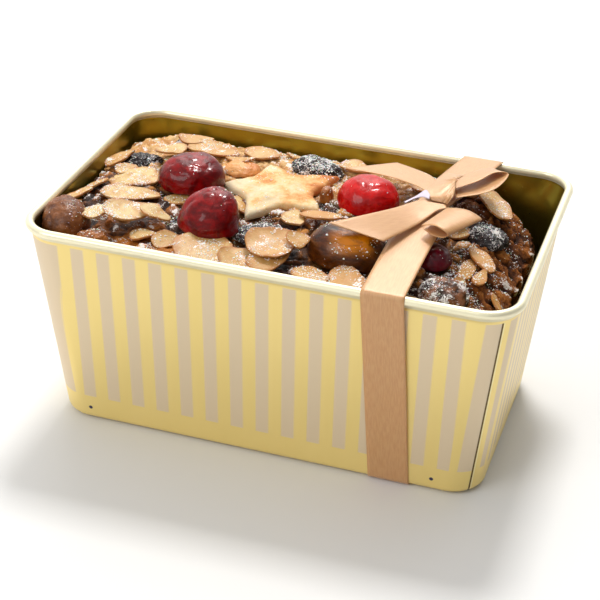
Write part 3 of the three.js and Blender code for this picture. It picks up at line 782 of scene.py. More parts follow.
# ---------------------------------------------------------------------------------- pastry star
# A star cut from shortcrust pastry and baked on the cake: puffed in the middle, soft at its rounded
# tips, pale, and browned in blotches and more towards its back right tips.

STAR_AT = (-13.4, 8.6)
STAR_NOTCH = 12.8
STAR_POINT = 1.8
STAR_TIPS = np.array(((45, 25), (116, 20.5), (188, 19.6), (261, 24), (331, 21.4)))


def star_reach(degrees):
    """The star's reach at each direction: from the notch's up to the tips' by |2t - 1|^1.8 between tips."""
    angles = np.concatenate((STAR_TIPS[:, 0], [STAR_TIPS[0, 0] + 360]))
    reaches = np.concatenate((STAR_TIPS[:, 1], [STAR_TIPS[0, 1]]))
    past = np.mod(degrees - angles[0], 360) + angles[0]
    side = np.clip(np.searchsorted(angles, past, side="right") - 1, 0, 4)
    t = (past - angles[side]) / (angles[side + 1] - angles[side])
    reach = reaches[side] + (reaches[side + 1] - reaches[side]) * t
    return STAR_NOTCH + (reach - STAR_NOTCH) * np.abs(2 * t - 1) ** STAR_POINT


def star_grid():
    """Rings from the foot out, over the rounded edge and in across the puffed top, each the outline times a
    share, its height from the edge's quarter turn and then a slow swell to the middle."""
    star_low, star_high = [corner[2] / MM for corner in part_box("pastry_star")]
    turn = np.linspace(0, 2 * np.pi, 240, endpoint=False)[None]
    reach = star_reach(np.degrees(turn))
    edge = np.linspace(0, 1, 10)[:, None]
    inward = np.linspace(0.80, 0.02, 44)[:, None]
    share = np.concatenate((0.95 + 0.05 * np.sin(edge * np.pi / 2),
                            1 - 0.16 * (1 - np.cos(edge[1:] * np.pi / 2)), inward))
    lift = np.concatenate((0.3 * edge, 0.3 + 0.48 * np.sin(edge[1:] * np.pi / 2) ** 0.8,
                           0.78 + 0.22 * (1 - ease(0.3, 0.84, inward))))
    x, y = STAR_AT[0] + reach * share * np.cos(turn), STAR_AT[1] + reach * share * np.sin(turn)
    return np.stack((x, y, star_low - 1.8 + (star_high - star_low + 0.4) * lift + 0 * x), axis=-1)


shape = star_grid()
relief = 0.42 * layered_noise(shape, 8, 3, 81) - 0.15 * creases(shape, 3.2, 2, 83)
relief = relief + 0.05 * cloud_noise(shape / 0.8, 85)
star = surface("shortcrust_star", pushed(shape, relief))

pastry = Finish("shortcrust", Subsurface_Weight=0.15, Subsurface_Scale=0.002)
here = pastry.place()
x_mm, y_mm, z_mm = pastry.axes(here)
wide = pastry.grain(here, 12.0, detail=2.0)
speckle = pastry.grain(here, 1.3, detail=4.0, roughness=0.7)
lengthwise = (x_mm + 13.4) * 0.028 + (y_mm - 6.4) * 0.022
browned = (wide * 0.9 + speckle * 0.3 + lengthwise * 0.36).rise(0.46, 0.86)
colour = pastry.ramp(browned, (0.0, dye(222, 202, 166)), (0.35, dye(224, 188, 132)),
                     (0.7, dye(216, 150, 84)), (1.0, dye(186, 108, 50)))
pastry.feed(Base_Color=colour, Roughness=0.62 + 0.2 * speckle, Normal=pastry.bump(speckle + wide, 0.35, 0.7))
star.data.materials.append(pastry.material)
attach(star, "root")
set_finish(star, "pastry")
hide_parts("pastry_star")

# ------------------------------------------------------------------------------------ dried fruit
# A syruped fig, prunes, dates and raisins pushed into the crust before baking: dark, wrinkled and
# shiny, with a few pieces of caramel and one toffee bump between them.

amber = Finish("syruped_fig", Coat_Roughness=0.08, Specular_IOR_Level=0.25, Subsurface_Weight=0.2,
               Subsurface_Scale=0.003, Subsurface_Radius=(1.0, 0.45, 0.12))
here = amber.place()
x_mm, y_mm, z_mm = amber.axes(here)
flow = amber.grain(amber.stretched(here, (0.45, 1, 1.3)), 5.0, detail=5.0, warp=1.2)
fine = amber.grain(here, 0.8, detail=3.0)
# Painted glow: a band of bright amber across the fig's right part at mid height, standing for light shining
# through it.
lit = (x_mm - 26).size().fall(2, 10) * (z_mm - 81.5).size().fall(0.5, 4.5) * flow.rise(0.3, 0.6)
colour = amber.ramp(flow, (0.3, dye(38, 19, 4)), (0.5, dye(82, 40, 6)), (0.72, dye(114, 62, 14)))
colour = amber.blend(lit, colour, dye(216, 128, 4))
colour, specks = amber.dusted(here, colour, 0.06, flow)
amber.feed(Base_Color=colour, Roughness=0.24 + 0.15 * fine + specks * 0.4,
           Coat_Weight=(0.25 - specks).most(0.0), Normal=amber.bump(fine + flow * 2, 0.3, 0.5))


def dark_fruit(name, low_colour, high_colour, bright, gloss, size, sugar_cover):
    """Dried fruit skin: two dark tones by a blotch, a brighter one on the ridges, and a wrinkle bump."""
    skin = Finish(name, Coat_Roughness=0.22, Specular_IOR_Level=0.35)
    here = skin.place()
    blotch = skin.grain(here, size * 3, detail=4.0, warp=0.8)
    fibre = skin.grain(here, size, detail=4.0, roughness=0.6, warp=1.5)
    colour = skin.blend(blotch.rise(0.35, 0.65), low_colour, high_colour)
    colour = skin.blend(fibre.rise(0.55, 0.75) * 0.5, colour, bright)
    colour, specks = skin.dusted(here, colour, sugar_cover, fibre)
    skin.feed(Base_Color=colour, Roughness=gloss + 0.15 * fibre + specks * 0.4,
              Coat_Weight=(0.22 - specks).most(0.0), Normal=skin.bump(fibre + specks * 0.3, 0.5, 0.8))
    return skin


raisin = dark_fruit("raisin_skin", dye(22, 15, 18), dye(44, 28, 28), dye(80, 56, 50), 0.3, 1.2, 0.54)
date = dark_fruit("date_skin", dye(88, 46, 20), dye(136, 80, 38), dye(154, 96, 48), 0.42, 1.6, 0.06)
plum = dark_fruit("plum_skin", dye(40, 26, 26), dye(132, 82, 50), dye(160, 104, 66), 0.36, 1.4, 0.55)
toffee = dark_fruit("toffee_skin", dye(206, 128, 62), dye(226, 160, 92), dye(190, 100, 40), 0.36, 2.4, 0.25)
caramel = dark_fruit("caramel_skin", dye(112, 58, 16), dye(164, 96, 34), dye(204, 138, 66), 0.24, 1.8, 0.15)

# node: skin, slot, plump, sink, spread, wrinkle depth, wrinkle size
FRUIT = {
    "fig": (amber, "fig", 0.72, 1.6, 1.03, 0.35, 7.0),
    "prune_back": (raisin, "dried_fruit", 0.9, 2.2, 1.12, 1.0, 4.0),
    "prune_front": (raisin, "dried_fruit", 1.0, 1.6, 1.3, 0.9, 3.6),
    "date_corner": (date, "dried_fruit", 0.9, 1.2, 1.25, 0.9, 4.4),
    "date_piece": (caramel, "dried_fruit", 0.6, 1.4, 1.1, 0.3, 2.4),
    "caramel_piece": (caramel, "caramel", 1.0, 1.8, 1.25, 0.8, 3.0),
    "toffee_bump": (toffee, "caramel", 1.2, 1.2, 1.5, 0.5, 4.0),
    "raisin_back_left": (raisin, "dried_fruit", 0.9, 1.4, 1.35, 0.8, 2.6),
    "raisin_left": (raisin, "dried_fruit", 1.0, 1.3, 1.3, 0.8, 2.6),
    "raisin_by_bow": (date, "dried_fruit", 1.0, 1.4, 1.25, 0.9, 3.0),
    "raisin_right": (raisin, "dried_fruit", 1.1, 1.8, 1.3, 1.1, 3.0),
    "prune_front_right": (plum, "dried_fruit", 1.0, 2.0, 1.2, 1.1, 3.6),
}
FRUIT_CROWN = 0.95
WALL_GAP = 0.15
# how far some of them stand above their solid, and how far some are moved from it
TALLER = {"date_corner": 3.6, "prune_front_right": 1.2}
SHIFTED = {"raisin_right": (-2.6, 3.6, 0.4), "prune_front": (0.8, -1.6, 0.6)}


def held_in(grid):
    """The same points, those past the tin's inner wall brought back to just inside it."""
    middle = np.stack(wall_half(grid[..., 2] - TIN_LIFT), axis=-1) - CORNER
    nearest = np.clip(grid[..., :2], -middle, middle)
    away = grid[..., :2] - nearest
    gap = np.linalg.norm(away, axis=-1, keepdims=True)
    level = nearest + away * np.minimum(1, (CORNER - WALL - WALL_GAP) / np.maximum(gap, 1e-6))
    return np.concatenate((level, grid[..., 2:]), axis=-1)


fruits = []
for seed, (node, (skin, slot, plump, sink, spread, depth, size)) in enumerate(FRUIT.items()):
    taller = TALLER.get(node, 0.3)
    shape = dome(node, sink, plump, FRUIT_CROWN, rows=46, columns=80, spread=spread, taller=taller)
    shape = shape + np.array(SHIFTED.get(node, (0, 0, 0)))
    relief = 0.5 * depth * layered_noise(shape, size * 1.8, 2, 100 + seed)
    relief = relief - depth * creases(shape, size, 3, 120 + seed)
    fruit = surface("baked_" + node, held_in(pushed(shape, relief)))
    fruit.data.materials.append(skin.material)
    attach(fruit, "root")
    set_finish(fruit, slot)
    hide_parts(node)
    fruits.append(fruit)

# --------------------------------------------------------------------------------- flaked almonds
# Almonds sliced lengthwise, under a millimetre thick, scattered before baking: cream in the middle
# and toasted at the rim, each slightly cupped and lying on what is under it.

FLAKES = 28
FLAKE_SUNK = 0.2
# number: shift right, shift back, longer by, wider by, how toasted from 0 to 1
FLAKE_SHAPES = {
    1: (0.0, 0.0, 1.0, 1.0, 0.5), 3: (3.0, 1.7, 1.0, 1.3, 0.2), 4: (1.7, 2.2, 1.05, 1.0, 0.3),
    5: (0.0, -1.4, 1.0, 1.0, 0.0), 6: (1.8, -2.6, 1.0, 0.9, 0.2), 7: (1.6, -3.4, 1.15, 0.9, 0.1),
    8: (3.0, -5.4, 0.9, 1.2, 0.3), 9: (1.2, 0.0, 1.2, 1.0, 0.3), 10: (0.6, 2.0, 1.1, 1.1, 0.6),
    11: (1.2, 2.8, 1.2, 1.2, 0.6), 12: (0.6, 1.6, 1.3, 1.1, 0.7), 13: (-2.4, -1.6, 1.2, 1.1, 0.7),
    14: (0.0, 0.0, 1.0, 1.0, 0.6), 15: (1.4, -0.4, 1.0, 1.2, 0.7), 16: (4.0, -5.2, 0.95, 1.0, 0.8),
    17: (0.0, 0.0, 1.15, 0.95, 0.9), 19: (3.2, -4.6, 1.1, 1.2, 0.8), 20: (0.6, 1.4, 1.4, 1.1, 1.0),
    21: (-1.4, 1.2, 1.35, 1.1, 1.0), 23: (-1.4, -2.2, 1.8, 1.25, 0.6), 24: (-1.8, 0.4, 1.2, 1.0, 1.0),
    25: (-1.4, -1.2, 1.2, 0.9, 1.0), 26: (-1.2, -1.6, 1.2, 1.1, 1.0), 28: (-1.0, 0.6, 1.5, 1.0, 0.8),
}
AS_IT_IS = (0, 0, 1, 1, 0.35)
# smaller pieces between them: right, back, direction in degrees, half length, half width, tilt, how toasted
SHARDS = (
    (-37.6, -35.5, 35, 5.2, 3.4, 0.3, 0.5), (-43.2, -8.6, 12, 5.6, 2.8, 0.1, 0.2),
    (-23.8, -3.2, 105, 6.2, 3.6, 0.5, 0.4), (54.6, 1.4, 20, 4.6, 2.6, 0.2, 0.7),
    (-34.0, 27.0, 160, 6.4, 4.2, 0.1, 0.8), (-55.0, 36.5, 20, 6.5, 3.6, 0.1, 0.8),
    (-14.0, 39.0, 172, 6.8, 3.4, 0.1, 0.7), (-70.5, 8.0, 60, 4.6, 3.2, 0.3, 0.5),
    (72.0, -27.5, 120, 4.6, 2.4, 0.6, 1.0), (60.5, -31.0, 75, 4.0, 2.2, 0.7, 1.0),
    (5.5, -21.0, 130, 3.6, 2.2, 0.5, 0.4), (35.5, 30.5, 10, 5.6, 3.0, 0.1, 0.7),
    (-27.5, -46.0, 170, 4.6, 2.2, 0.2, 0.6), (14.0, -9.0, 150, 4.0, 2.4, 0.3, 0.9),
    (38.0, -45.5, 165, 4.8, 2.6, 0.2, 0.9), (-58.0, 2.0, 80, 4.6, 3.0, 0.2, 0.3),
    (48.0, 34.0, 150, 5.0, 3.0, 0.2, 0.6),
)


def first_hit(tree, x, y):
    """What a ray straight down at a place meets first: where, facing which way, on which face."""
    return tree.ray_cast(Vector((x, y, 130)) * MM, Vector((0, 0, -1)))[:3]


def shell_tree(pieces):
    """One search tree over several pieces, with the piece that each face belongs to."""
    points, faces, owners = [], [], []
    start = 0
    for piece in pieces:
        mesh = piece.data
        place = np.zeros(len(mesh.vertices) * 3, np.float32)
        mesh.vertices.foreach_get("co", place)
        points += place.reshape(-1, 3).tolist()
        faces += [[start + index for index in face.vertices] for face in mesh.polygons]
        owners += [piece.name] * len(mesh.polygons)
        start += len(mesh.vertices)
    return BVHTree.FromPolygons(points, faces), owners


def laid_frame(tree, x, y, degrees, tilt):
    """Where a piece dropped at a place comes to rest: the middle on the highest surface there, and its long,
    cross and upward directions, the upward one from three points round the place, leaned by the tilt."""
    a, b, c = [np.array(first_hit(tree, x + dx, y + dy)[0]) / MM
               for dx, dy in ((2.5, 0), (-1.3, 2.2), (-1.3, -2.2))]
    up = unit(unit(np.cross(b - a, c - a)) + np.array((0, 0, 1.0)))
    turn = np.radians(degrees)
    long = np.array((np.cos(turn), np.sin(turn), 0))
    up = unit(up + tilt * np.array((np.sin(turn), -np.cos(turn), 0)))
    long = unit(long - up * (long @ up))
    return (a + b + c) / 3 + up * (0.5 + 1.5 * tilt), np.stack((long, np.cross(up, long), up))


def flake_frame(node):
    """Middle of a flake, its long, cross and upward directions, and its half sizes, from the main directions
    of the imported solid's points. The long direction points to the narrow end."""
    points = node_points(node)
    middle = (points.max(axis=0) + points.min(axis=0)) / 2
    _, _, axes = np.linalg.svd(points - points.mean(axis=0), full_matrices=False)
    spread = (points - points.mean(axis=0)) @ axes.T
    axes[0] *= -np.sign(spread[np.argmax(np.abs(spread[:, 1])), 0])
    axes[2] *= np.sign(axes[2, 2])
    axes[1] = np.cross(axes[2], axes[0])
    spread = (points - points.mean(axis=0)) @ axes.T
    return middle, axes, (spread.max(axis=0) - spread.min(axis=0)) / 2


def flake_grid(middle, axes, half, seed, rng):
    """A thin slice: a tapered ellipse with a wavering edge, its rings going out over the top, round the edge
    and back under it, bent up at the sides or the ends by a small square of the distance."""
    turn = np.linspace(0, 2 * np.pi, 40, endpoint=False)[None]
    share = np.array((0.04, 0.3, 0.55, 0.75, 0.88, 0.95, 0.98, 0.994, 1,
                      1, 0.994, 0.98, 0.9, 0.6, 0.04))[:, None]
    level = np.array((38, 38, 38, 38, 38, 38, 36, 30, 16, -16, -30, -36, -38, -38, -38))[:, None] / 100
    waver = 1
    for strength, waves in ((0.05, 3), (0.03, 5), (0.015, 11)):
        waver = waver + strength * np.sin(waves * turn + rng.uniform(0, 6))
    taper = 1 - rng.uniform(0.2, 0.4) * np.cos(turn)
    u = half[0] * share * waver * np.cos(turn)
    v = half[1] * share * waver * taper * np.sin(turn)
    cup = rng.uniform(-0.022, 0.040)
    bow = rng.uniform(-0.012, 0.014)
    lean_u, lean_v = rng.uniform(-0.07, 0.07), rng.uniform(-0.10, 0.10)
    flat = np.stack((u, v, 0 * u), axis=-1)
    w = level + cup * v ** 2 + bow * u ** 2 + lean_u * u + lean_v * v
    w = w + 0.4 * cloud_noise(flat / 4.0 + seed * 7.7, 150)
    grid = middle + u[..., None] * axes[0] + v[..., None] * axes[1] + w[..., None] * axes[2]
    spot = np.stack((share * np.cos(turn), share * np.sin(turn)), axis=-1)
    return grid, spot


def joined_surfaces(name, grids, spots, tones):
    """Many like closed grids as one mesh. The map holds each one's own place from its middle, and the mark
    holds its own tone."""
    groups = skin_faces(*grids[0].shape[:2])
    each = grids[0][..., 0].size + 2
    points, places, faces = [], [], []
    for number, (grid, spot) in enumerate(zip(grids, spots)):
        body = capped(grid)
        points.append(body)
        places.append(np.concatenate((spot.reshape(-1, 2), np.zeros((2, 2)))))
        a, b, c = [body[groups[0][:, corner]] for corner in range(3)]
        inside_out = np.einsum("ij,ij->i", a - body.mean(axis=0), np.cross(b - a, c - a)).sum() < 0
        for group in groups:
            faces += ((group[:, ::-1] if inside_out else group) + number * each).tolist()
    piece = mesh_piece(name, np.concatenate(points), faces)
    index = np.zeros(len(piece.data.loops), np.int32)
    piece.data.loops.foreach_get("vertex_index", index)
    add_map(piece, np.concatenate(places)[index])
    add_marks(piece, np.repeat(tones, each))
    return piece


rng = np.random.default_rng(7)
flake_nodes = [f"almond_{number:02d}" for number in range(1, FLAKES + 1)]
flake_grids, flake_spots, tones = [], [], []
for seed, node in enumerate(flake_nodes):
    right, back, longer, wider, toast = FLAKE_SHAPES.get(seed + 1, AS_IT_IS)
    middle, axes, half = flake_frame(node)
    middle = middle + np.array((right, back, -FLAKE_SUNK))
    grid, spot = flake_grid(middle, axes, half * np.array((longer, wider, 1)), seed, rng)
    flake_grids.append(grid)
    flake_spots.append(spot)
    tones.append(toast)
tree, _ = shell_tree([cake] + fruits)
for seed, (x, y, degrees, half_long, half_wide, tilt, toast) in enumerate(SHARDS, 40):
    middle, axes = laid_frame(tree, x, y, degrees, tilt)
    grid, spot = flake_grid(middle, axes, (half_long, half_wide), seed, rng)
    flake_grids.append(grid)
    flake_spots.append(spot)
    tones.append(toast)
almonds = joined_surfaces("flaked_almonds", flake_grids, flake_spots, tones)

nut = Finish("toasted_almond", Subsurface_Weight=0.12, Subsurface_Scale=0.0015, Coat_Roughness=0.3)
here = nut.place()
u, v, _ = nut.axes(nut.add("UVMap", {"uv_map": "map"}))
tone = nut.add("Attribute", {"attribute_name": "mark"}, out="Fac")
out_from_middle = (u ** 2 + v ** 2) ** 0.5
clouds = nut.grain(here, 4.5, detail=4.0, warp=0.6)
fibres = nut.grain(here, 0.7, detail=3.0)
meat = nut.blend(clouds.rise(0.38, 0.62), dye(213, 187, 132), dye(190, 149, 85))
meat = nut.blend(tone * 0.75, meat, dye(186, 124, 50))
meat = nut.blend(fibres.rise(0.55, 0.7) * 0.3, meat, dye(178, 132, 74))
toasted = (out_from_middle + (clouds - 0.5) * 0.5).rise(0.74, 1.04)
colour = nut.blend(toasted * 0.85, meat, dye(164, 100, 34))
colour, specks = nut.dusted(here, colour, 0.3, fibres)
nut.feed(Base_Color=colour, Roughness=0.42 + 0.25 * fibres + specks * 0.2, Coat_Weight=0.25 * clouds,
         Normal=nut.bump(fibres + clouds * 1.5, 0.22, 0.6))
almonds.data.materials.append(nut.material)
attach(almonds, "root")
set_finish(almonds, "almond")
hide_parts(*flake_nodes)

# ------------------------------------------------------------------------------------ icing sugar
# A dusting of icing sugar shaken over the baked cake: tiny white clumps that caught in the wrinkles
# of the fruit and in patches of the crust.

GRAINS = 17000
STEEPEST = 0.35  # the least upward part of a normal on which a grain stays
# patches where more of it lies: right, back, reach
DRIFTS = ((-56, -34, 9), (61, 3, 7), (52, -45, 7), (-40, -42, 10), (-4, -19, 7), (14, -46, 8),
          (-3, 30, 9), (-63, 12, 8), (24, 24, 10))
# how well each surface holds it; the cherries and the other fruit have their own shares
ON_CHERRY, ON_FRUIT = 0.02, 0.6
CATCH = {"baked_loaf": 0.55, "flaked_almonds": 0.5, "shortcrust_star": 0.13, "baked_fig": 0.14,
         "baked_date_corner": 0.1, "baked_caramel_piece": 0.12, "baked_toffee_bump": 0.25}
sugared = [thing for thing in bpy.data.objects if thing.get("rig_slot") in (
    "cake", "cherry", "pastry", "fig", "caramel", "dried_fruit", "almond")]
tree, owners = shell_tree(sugared)
rng = np.random.default_rng(19)
tries = rng.uniform((-80, -49), (74, 47), (GRAINS * 6, 2))
flat = np.concatenate((tries, np.zeros((len(tries), 1))), axis=1)
drift = ease(0.0, 0.6, layered_noise(flat, 7, 3, 201)) * 0.75 + 0.04
for drift_x, drift_y, reach in DRIFTS:
    away = np.hypot(tries[:, 0] - drift_x, tries[:, 1] - drift_y) / reach
    drift = drift + np.exp(-away ** 2) * ease(-0.2, 0.4, layered_noise(flat, 3, 2, 207))
luck = rng.uniform(0, 1, len(tries))
landed = []
for (x, y), thickness, chance in zip(tries.tolist(), drift.tolist(), luck.tolist()):
    place, facing, face = first_hit(tree, x, y)
    if place is None or facing.z < STEEPEST:
        continue
    owner = owners[face]
    catch = ON_CHERRY if owner.startswith("glace") else CATCH.get(owner, ON_FRUIT)
    if chance < thickness * catch:
        landed.append(tuple(place))
    if len(landed) >= GRAINS:
        break
landed = np.array(landed) / MM
size = rng.gamma(2.5, 0.055, len(landed)) + 0.07
stretch = rng.uniform(0.6, 1.3, (len(landed), 6, 1))
tips = np.array(((1, 0, 0), (0, 1, 0), (-1, 0, 0), (0, -1, 0), (0, 0, 1), (0, 0, -1)), float)
spin = rng.uniform(0, np.pi, len(landed))
cos, sin = np.cos(spin)[:, None], np.sin(spin)[:, None]
turned = np.stack((tips[:, 0] * cos - tips[:, 1] * sin, tips[:, 0] * sin + tips[:, 1] * cos,
                   np.repeat(tips[None, :, 2] * 0.7, len(landed), axis=0)), axis=-1)
grain_points = landed[:, None] + turned * stretch * size[:, None, None]
sides = np.array(((0, 1, 4), (1, 2, 4), (2, 3, 4), (3, 0, 4), (1, 0, 5), (2, 1, 5), (3, 2, 5), (0, 3, 5)))
grain_faces = (sides[None] + 6 * np.arange(len(landed))[:, None, None]).reshape(-1, 3)
sugar = mesh_piece("icing_sugar", grain_points.reshape(-1, 3), grain_faces.tolist(), smooth=False)

icing = Finish("icing_sugar", Roughness=0.8, Subsurface_Weight=0.3, Subsurface_Scale=0.0004)
shade = icing.grain(icing.place(), 0.8)
icing.feed(Base_Color=icing.blend(shade, dye(246, 240, 234), dye(255, 253, 250)))
sugar.data.materials.append(icing.material)
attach(sugar, "root")
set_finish(sugar, "icing_sugar")

# ----------------------------------------------------------------------------------------- ribbon
# One length of satin ribbon, 14 mm wide with woven edges. It runs once round the tin and over the
# cake, and is tied there in a bow with two slant-cut tails and two loops.

RIBBON_WIDTH = 14.2
RIBBON = 0.3  # its thickness
RIBBON_GAP = 0.1
TIE = (43.5, 3.0, 82.2)
NARROWER = 1.6  # how much each half of the band is drawn in at the tie


def curve_through(points, steps):
    """A smooth curve through points (Catmull-Rom: each piece leaves a point along the line between its two
    neighbours), at even steps along its length."""
    points = np.asarray(points, float)
    padded = np.concatenate((2 * points[:1] - points[1:2], points, 2 * points[-1:] - points[-2:-1]))
    t = np.linspace(0, 1, 24, endpoint=False)[None, :, None]
    a, b, c, d = [padded[k:len(padded) - 3 + k][:, None] for k in range(4)]
    fine = 0.5 * (2 * b + (c - a) * t + (2 * a - 5 * b + 4 * c - d) * t ** 2
                  + (3 * b - a - 3 * c + d) * t ** 3)
    fine = np.concatenate((fine.reshape(-1, 3), points[-1:]))
    length = np.concatenate(([0], np.cumsum(np.linalg.norm(np.diff(fine, axis=0), axis=1))))
    even = np.linspace(0, length[-1], steps)
    return np.stack([np.interp(even, length, fine[:, axis]) for axis in range(3)], axis=-1)


def ribbon_strip(name, edge_a, edge_b, joined=False, across=12, sag=None):
    """A strip between two edge curves as thick as the ribbon: its section is a thin loop, over the top and
    back under, carried along the edges. sag moves each place along the normal. The map holds millimetres
    across and along, and the mark goes from 0 in the middle to 1 at the edges."""
    share = np.linspace(0, 1, across + 1)
    middle = edge_a[:, None] * (1 - share[None, :, None]) + edge_b[:, None] * share[None, :, None]
    if joined:
        along = np.roll(middle, -1, axis=0) - np.roll(middle, 1, axis=0)
    else:
        along = np.gradient(middle, axis=0)
    over = np.gradient(middle, axis=1)
    off = unit(np.cross(along, over))
    if sag is not None:
        middle = middle + off * sag[..., None]
    thin = RIBBON / 2 * np.where((share == 0) | (share == 1), 0.55, 1.0)[None, :, None]
    grid = np.concatenate((middle + off * thin, (middle - off * thin)[:, ::-1]), axis=1)
    width = np.linalg.norm(edge_b - edge_a, axis=1)
    length = np.concatenate(([0], np.cumsum(np.linalg.norm(np.diff(middle.mean(axis=1), axis=0), axis=1))))
    if joined:
        length = np.append(length, length[-1] + 1)
        width = np.append(width, width[0])
    sides = np.concatenate((share, share[::-1], share[:1]))
    uv = np.stack((sides[None] * width[:, None], np.repeat(length[:, None], len(sides), axis=1)), axis=-1)
    edges = np.abs(sides[None, :-1] - 0.5) * 2 + 0 * width[:len(grid), None]
    return surface(name, grid, uv=uv, wrap_rows=joined, marks=edges)


def band_line():
    """The middle of the band that goes once round: under the base, up the front, over the rim and the cake to
    the tie and down the back. Its arcs keep the gap and half the ribbon off the tin's own roundings."""
    off = RIBBON_GAP + RIBBON / 2
    base_y = wall_half(BASE_EDGE)[1] - BASE_EDGE
    low = (base_y, TIN_LIFT + BASE_EDGE, BASE_EDGE + off)
    rim = (RIM_HALF[1], TIN_LIFT + RIM_HEIGHT, BEAD + off)
    climb = np.degrees(np.arctan2(TIE[2] - rim[1], rim[0]))

    def arc(centre, start, stop, side, x_from, x_to, steps):
        y, z, radius = centre
        turn = np.radians(np.linspace(start, stop, steps))
        return np.stack((np.linspace(x_from, x_to, steps), side * (y + radius * np.cos(turn)),
                         z + radius * np.sin(turn)), axis=-1)

    def straight(start, stop, steps):
        share = np.linspace(0, 1, steps + 2)[1:-1, None]
        return np.asarray(start) * (1 - share) + np.asarray(stop) * share

    front_low = arc(low, -90, -7, -1, 45.5, 45.4, 10)
    front_rim = arc(rim, -7, 90 - climb, -1, 41.9, 41.8, 16)
    back_rim = arc(rim, 90 - climb, -7, 1, 50.3, 50.2, 16)
    back_low = arc(low, -7, -90, 1, 47.2, 47.0, 10)
    x, y, z = TIE
    over = curve_through([front_rim[-1], (42.4, -25, z - 2), (x - 0.2, y - 8, z - 0.5), TIE,
                          (x + 0.9, y + 8, z - 0.6), (46.8, 30, z - 2.3), back_rim[0]], 90)[1:-1]
    return np.concatenate((
        front_low, straight(front_low[-1], front_rim[0], 40), front_rim, over, back_rim,
        straight(back_rim[-1], back_low[0], 40), back_low, straight(back_low[-1], front_low[0], 30)))


line = band_line()
pulled = np.where(line[:, 2] > 79, np.exp(-(((line[:, 1] - TIE[1]) / 9) ** 2)), 0)
half_width = (RIBBON_WIDTH / 2 - NARROWER * pulled)[:, None] * np.array((1.0, 0, 0))
band = ribbon_strip("satin_band", line - half_width, line + half_width, joined=True)


def knot_sag(rows, across):
    """Pleats that fan out from the gather at one edge of the wrap: a sine of the turn round the gather,
    fading away from it."""
    along, over = np.meshgrid(np.linspace(0, 1, rows), np.linspace(0, 1, across + 1), indexing="ij")
    turn = np.arctan2(along - 0.52, 1.1 - over)
    near = np.exp(-((along - 0.52) ** 2 + (1 - over) ** 2) / 0.20)
    return 0.40 * np.sin(19 * turn) * near + 0.6 * near


def bow_strip(name, steps, edge_a, edge_b, **more):
    """A piece of the bow between two smooth edges, each through its own points."""
    return ribbon_strip(name, curve_through(edge_a, steps), curve_through(edge_b, steps), **more)


tail_left = bow_strip(
    "satin_tail_left", 50,
    [(43.0, 15.2, 83.4), (37.6, 24.6, 81.8), (30.4, 31.2, 80.2), (22.4, 36.0, 79.2)],
    [(41.0, 7.4, 83.6), (34.6, 14.2, 82.4), (21.6, 22.6, 80.0), (6.2, 25.4, 79.0)])
tail_front = bow_strip(
    "satin_tail_front", 60,
    [(48.4, 0.8, 84.0), (43.0, 0.4, 84.3), (39.7, 0.1, 84.6), (33.3, -11.3, 85.8), (24.1, -25.2, 87.6),
     (17.1, -31.4, 87.2)],
    [(49.2, -0.9, 83.6), (46.9, -3.4, 83.8), (45.2, -7.6, 83.5), (43.0, -12.7, 82.8), (40.2, -19.2, 82.8),
     (35.5, -30.3, 83.4)])
loop_back = bow_strip(
    "satin_loop_back", 80,
    [(49.4, 9.3, 86.2), (56.1, 14.1, 88.1), (60.4, 20.6, 89.0), (64.8, 22.4, 88.4), (63.2, 14.4, 87.1),
     (58.9, 9.6, 86.0), (50.6, 5.8, 84.6)],
    [(47.6, 12.2, 86.2), (50.2, 20.6, 86.2), (54.4, 28.0, 86.0), (58.6, 30.8, 85.4), (55.6, 26.4, 84.4),
     (52.6, 21.0, 84.0), (48.8, 12.4, 83.8)])
loop_front = bow_strip(
    "satin_loop_front", 70,
    [(44.6, -17.6, 84.6), (49.0, -20.0, 86.7), (52.4, -21.4, 86.4), (54.2, -21.4, 84.9), (52.6, -21.0, 83.3),
     (49.0, -19.8, 82.9), (45.4, -17.2, 83.1)],
    [(49.8, -2.6, 84.8), (54.0, -4.4, 86.2), (57.8, -5.0, 86.2), (61.9, -6.2, 84.9), (60.8, -5.4, 83.4),
     (56.5, -3.2, 83.0), (51.5, -2.0, 83.0)])
wrap = bow_strip(
    "satin_knot", 64,
    [(42.6, 27.5, 82.4), (40.6, 19.1, 83.7), (39.9, 10.9, 84.8), (39.8, 6.5, 85.2), (41.4, 3.0, 85.0),
     (43.3, 1.8, 84.2)],
    [(50.2, 26.0, 83.4), (48.6, 15.7, 86.3), (49.6, 8.5, 87.1), (50.3, 4.9, 86.9), (50.0, 2.2, 86.0),
     (48.9, 1.2, 84.2)],
    across=40, sag=knot_sag(64, 40))
fold = bow_strip(
    "satin_fold", 30,
    [(42.2, 3.6, 85.3), (39.9, 6.4, 85.4), (37.7, 3.2, 84.4), (34.6, -1.2, 83.6)],
    [(42.6, 0.6, 85.2), (39.9, 2.0, 84.8), (37.6, 1.1, 84.2), (35.0, -1.8, 83.4)])

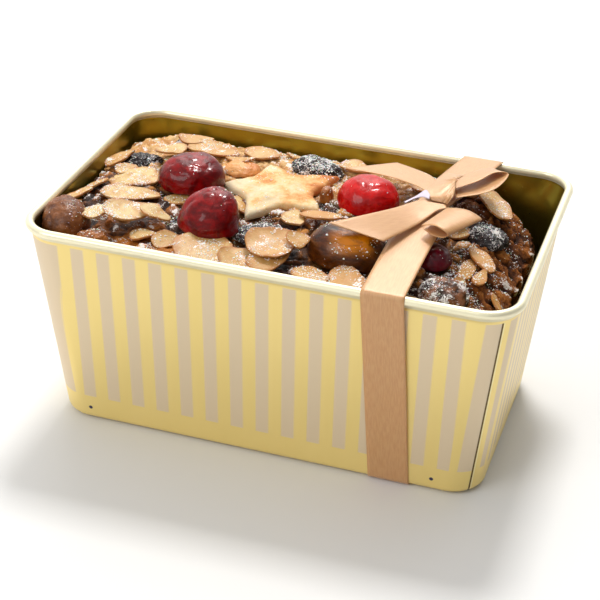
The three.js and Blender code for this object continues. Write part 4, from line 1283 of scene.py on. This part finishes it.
satin = Finish("satin_ribbon", Sheen_Weight=0.2, Sheen_Roughness=0.35, Sheen_Tint=(1, 0.93, 0.82, 1),
               Specular_IOR_Level=0.95, Metallic=0.1, Coat_Weight=0.3, Coat_Roughness=0.4,
               Subsurface_Weight=0.35, Subsurface_Scale=0.0008, Subsurface_Radius=(1.0, 0.75, 0.5))
across_mm, along_mm, _ = satin.axes(satin.add("UVMap", {"uv_map": "map"}))
edge = satin.add("Attribute", {"attribute_name": "mark"}, out="Fac")
warp_threads = (across_mm * 22).wave() * 0.5 + 0.5
weft_threads = ((along_mm + across_mm * 0.7) * 13).wave() * 0.5 + 0.5
flow = satin.add("CombineXYZ", None, {0: across_mm * 2.2, 1: along_mm * 0.25, 2: 0.0})
streaks = satin.grain(flow, 1.0, detail=3.0)
selvedge = edge.rise(0.90, 0.94)
colour = satin.blend(streaks.rise(0.3, 0.7), dye(194, 140, 86), dye(204, 154, 100))
colour = satin.blend(selvedge * 0.35, colour, dye(208, 154, 98))
satin.feed(
    Base_Color=colour,
    Roughness=0.36 + 0.08 * streaks + 0.12 * selvedge,
    Normal=satin.bump(weft_threads * 0.5 + warp_threads * 0.3 + selvedge * 1.5, 0.06, 0.7))
for piece, node in ((band, "ribbon_band"), (tail_left, "ribbon_tail_left"),
                    (tail_front, "ribbon_tail_front"), (loop_back, "ribbon_loop_back"),
                    (loop_front, "ribbon_loop_front"), (wrap, "ribbon_knot")):
    piece.data.materials.append(satin.material)
    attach(piece, "root")
    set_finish(piece, "ribbon")
    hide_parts(node)

# Painted sheen: the small fold by the knot is given a pale lilac colour that stands for the satin's glint of
# the sky.
painted_sheen_satin = Finish("satin_reverse", Roughness=0.4, Specular_IOR_Level=0.6)
shade = painted_sheen_satin.grain(painted_sheen_satin.place(), 1.2)
painted_sheen_satin.feed(Base_Color=painted_sheen_satin.blend(shade, dye(186, 174, 188), dye(204, 192, 208)))
fold.data.materials.append(painted_sheen_satin.material)
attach(fold, "root")
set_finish(fold, "ribbon")

import json
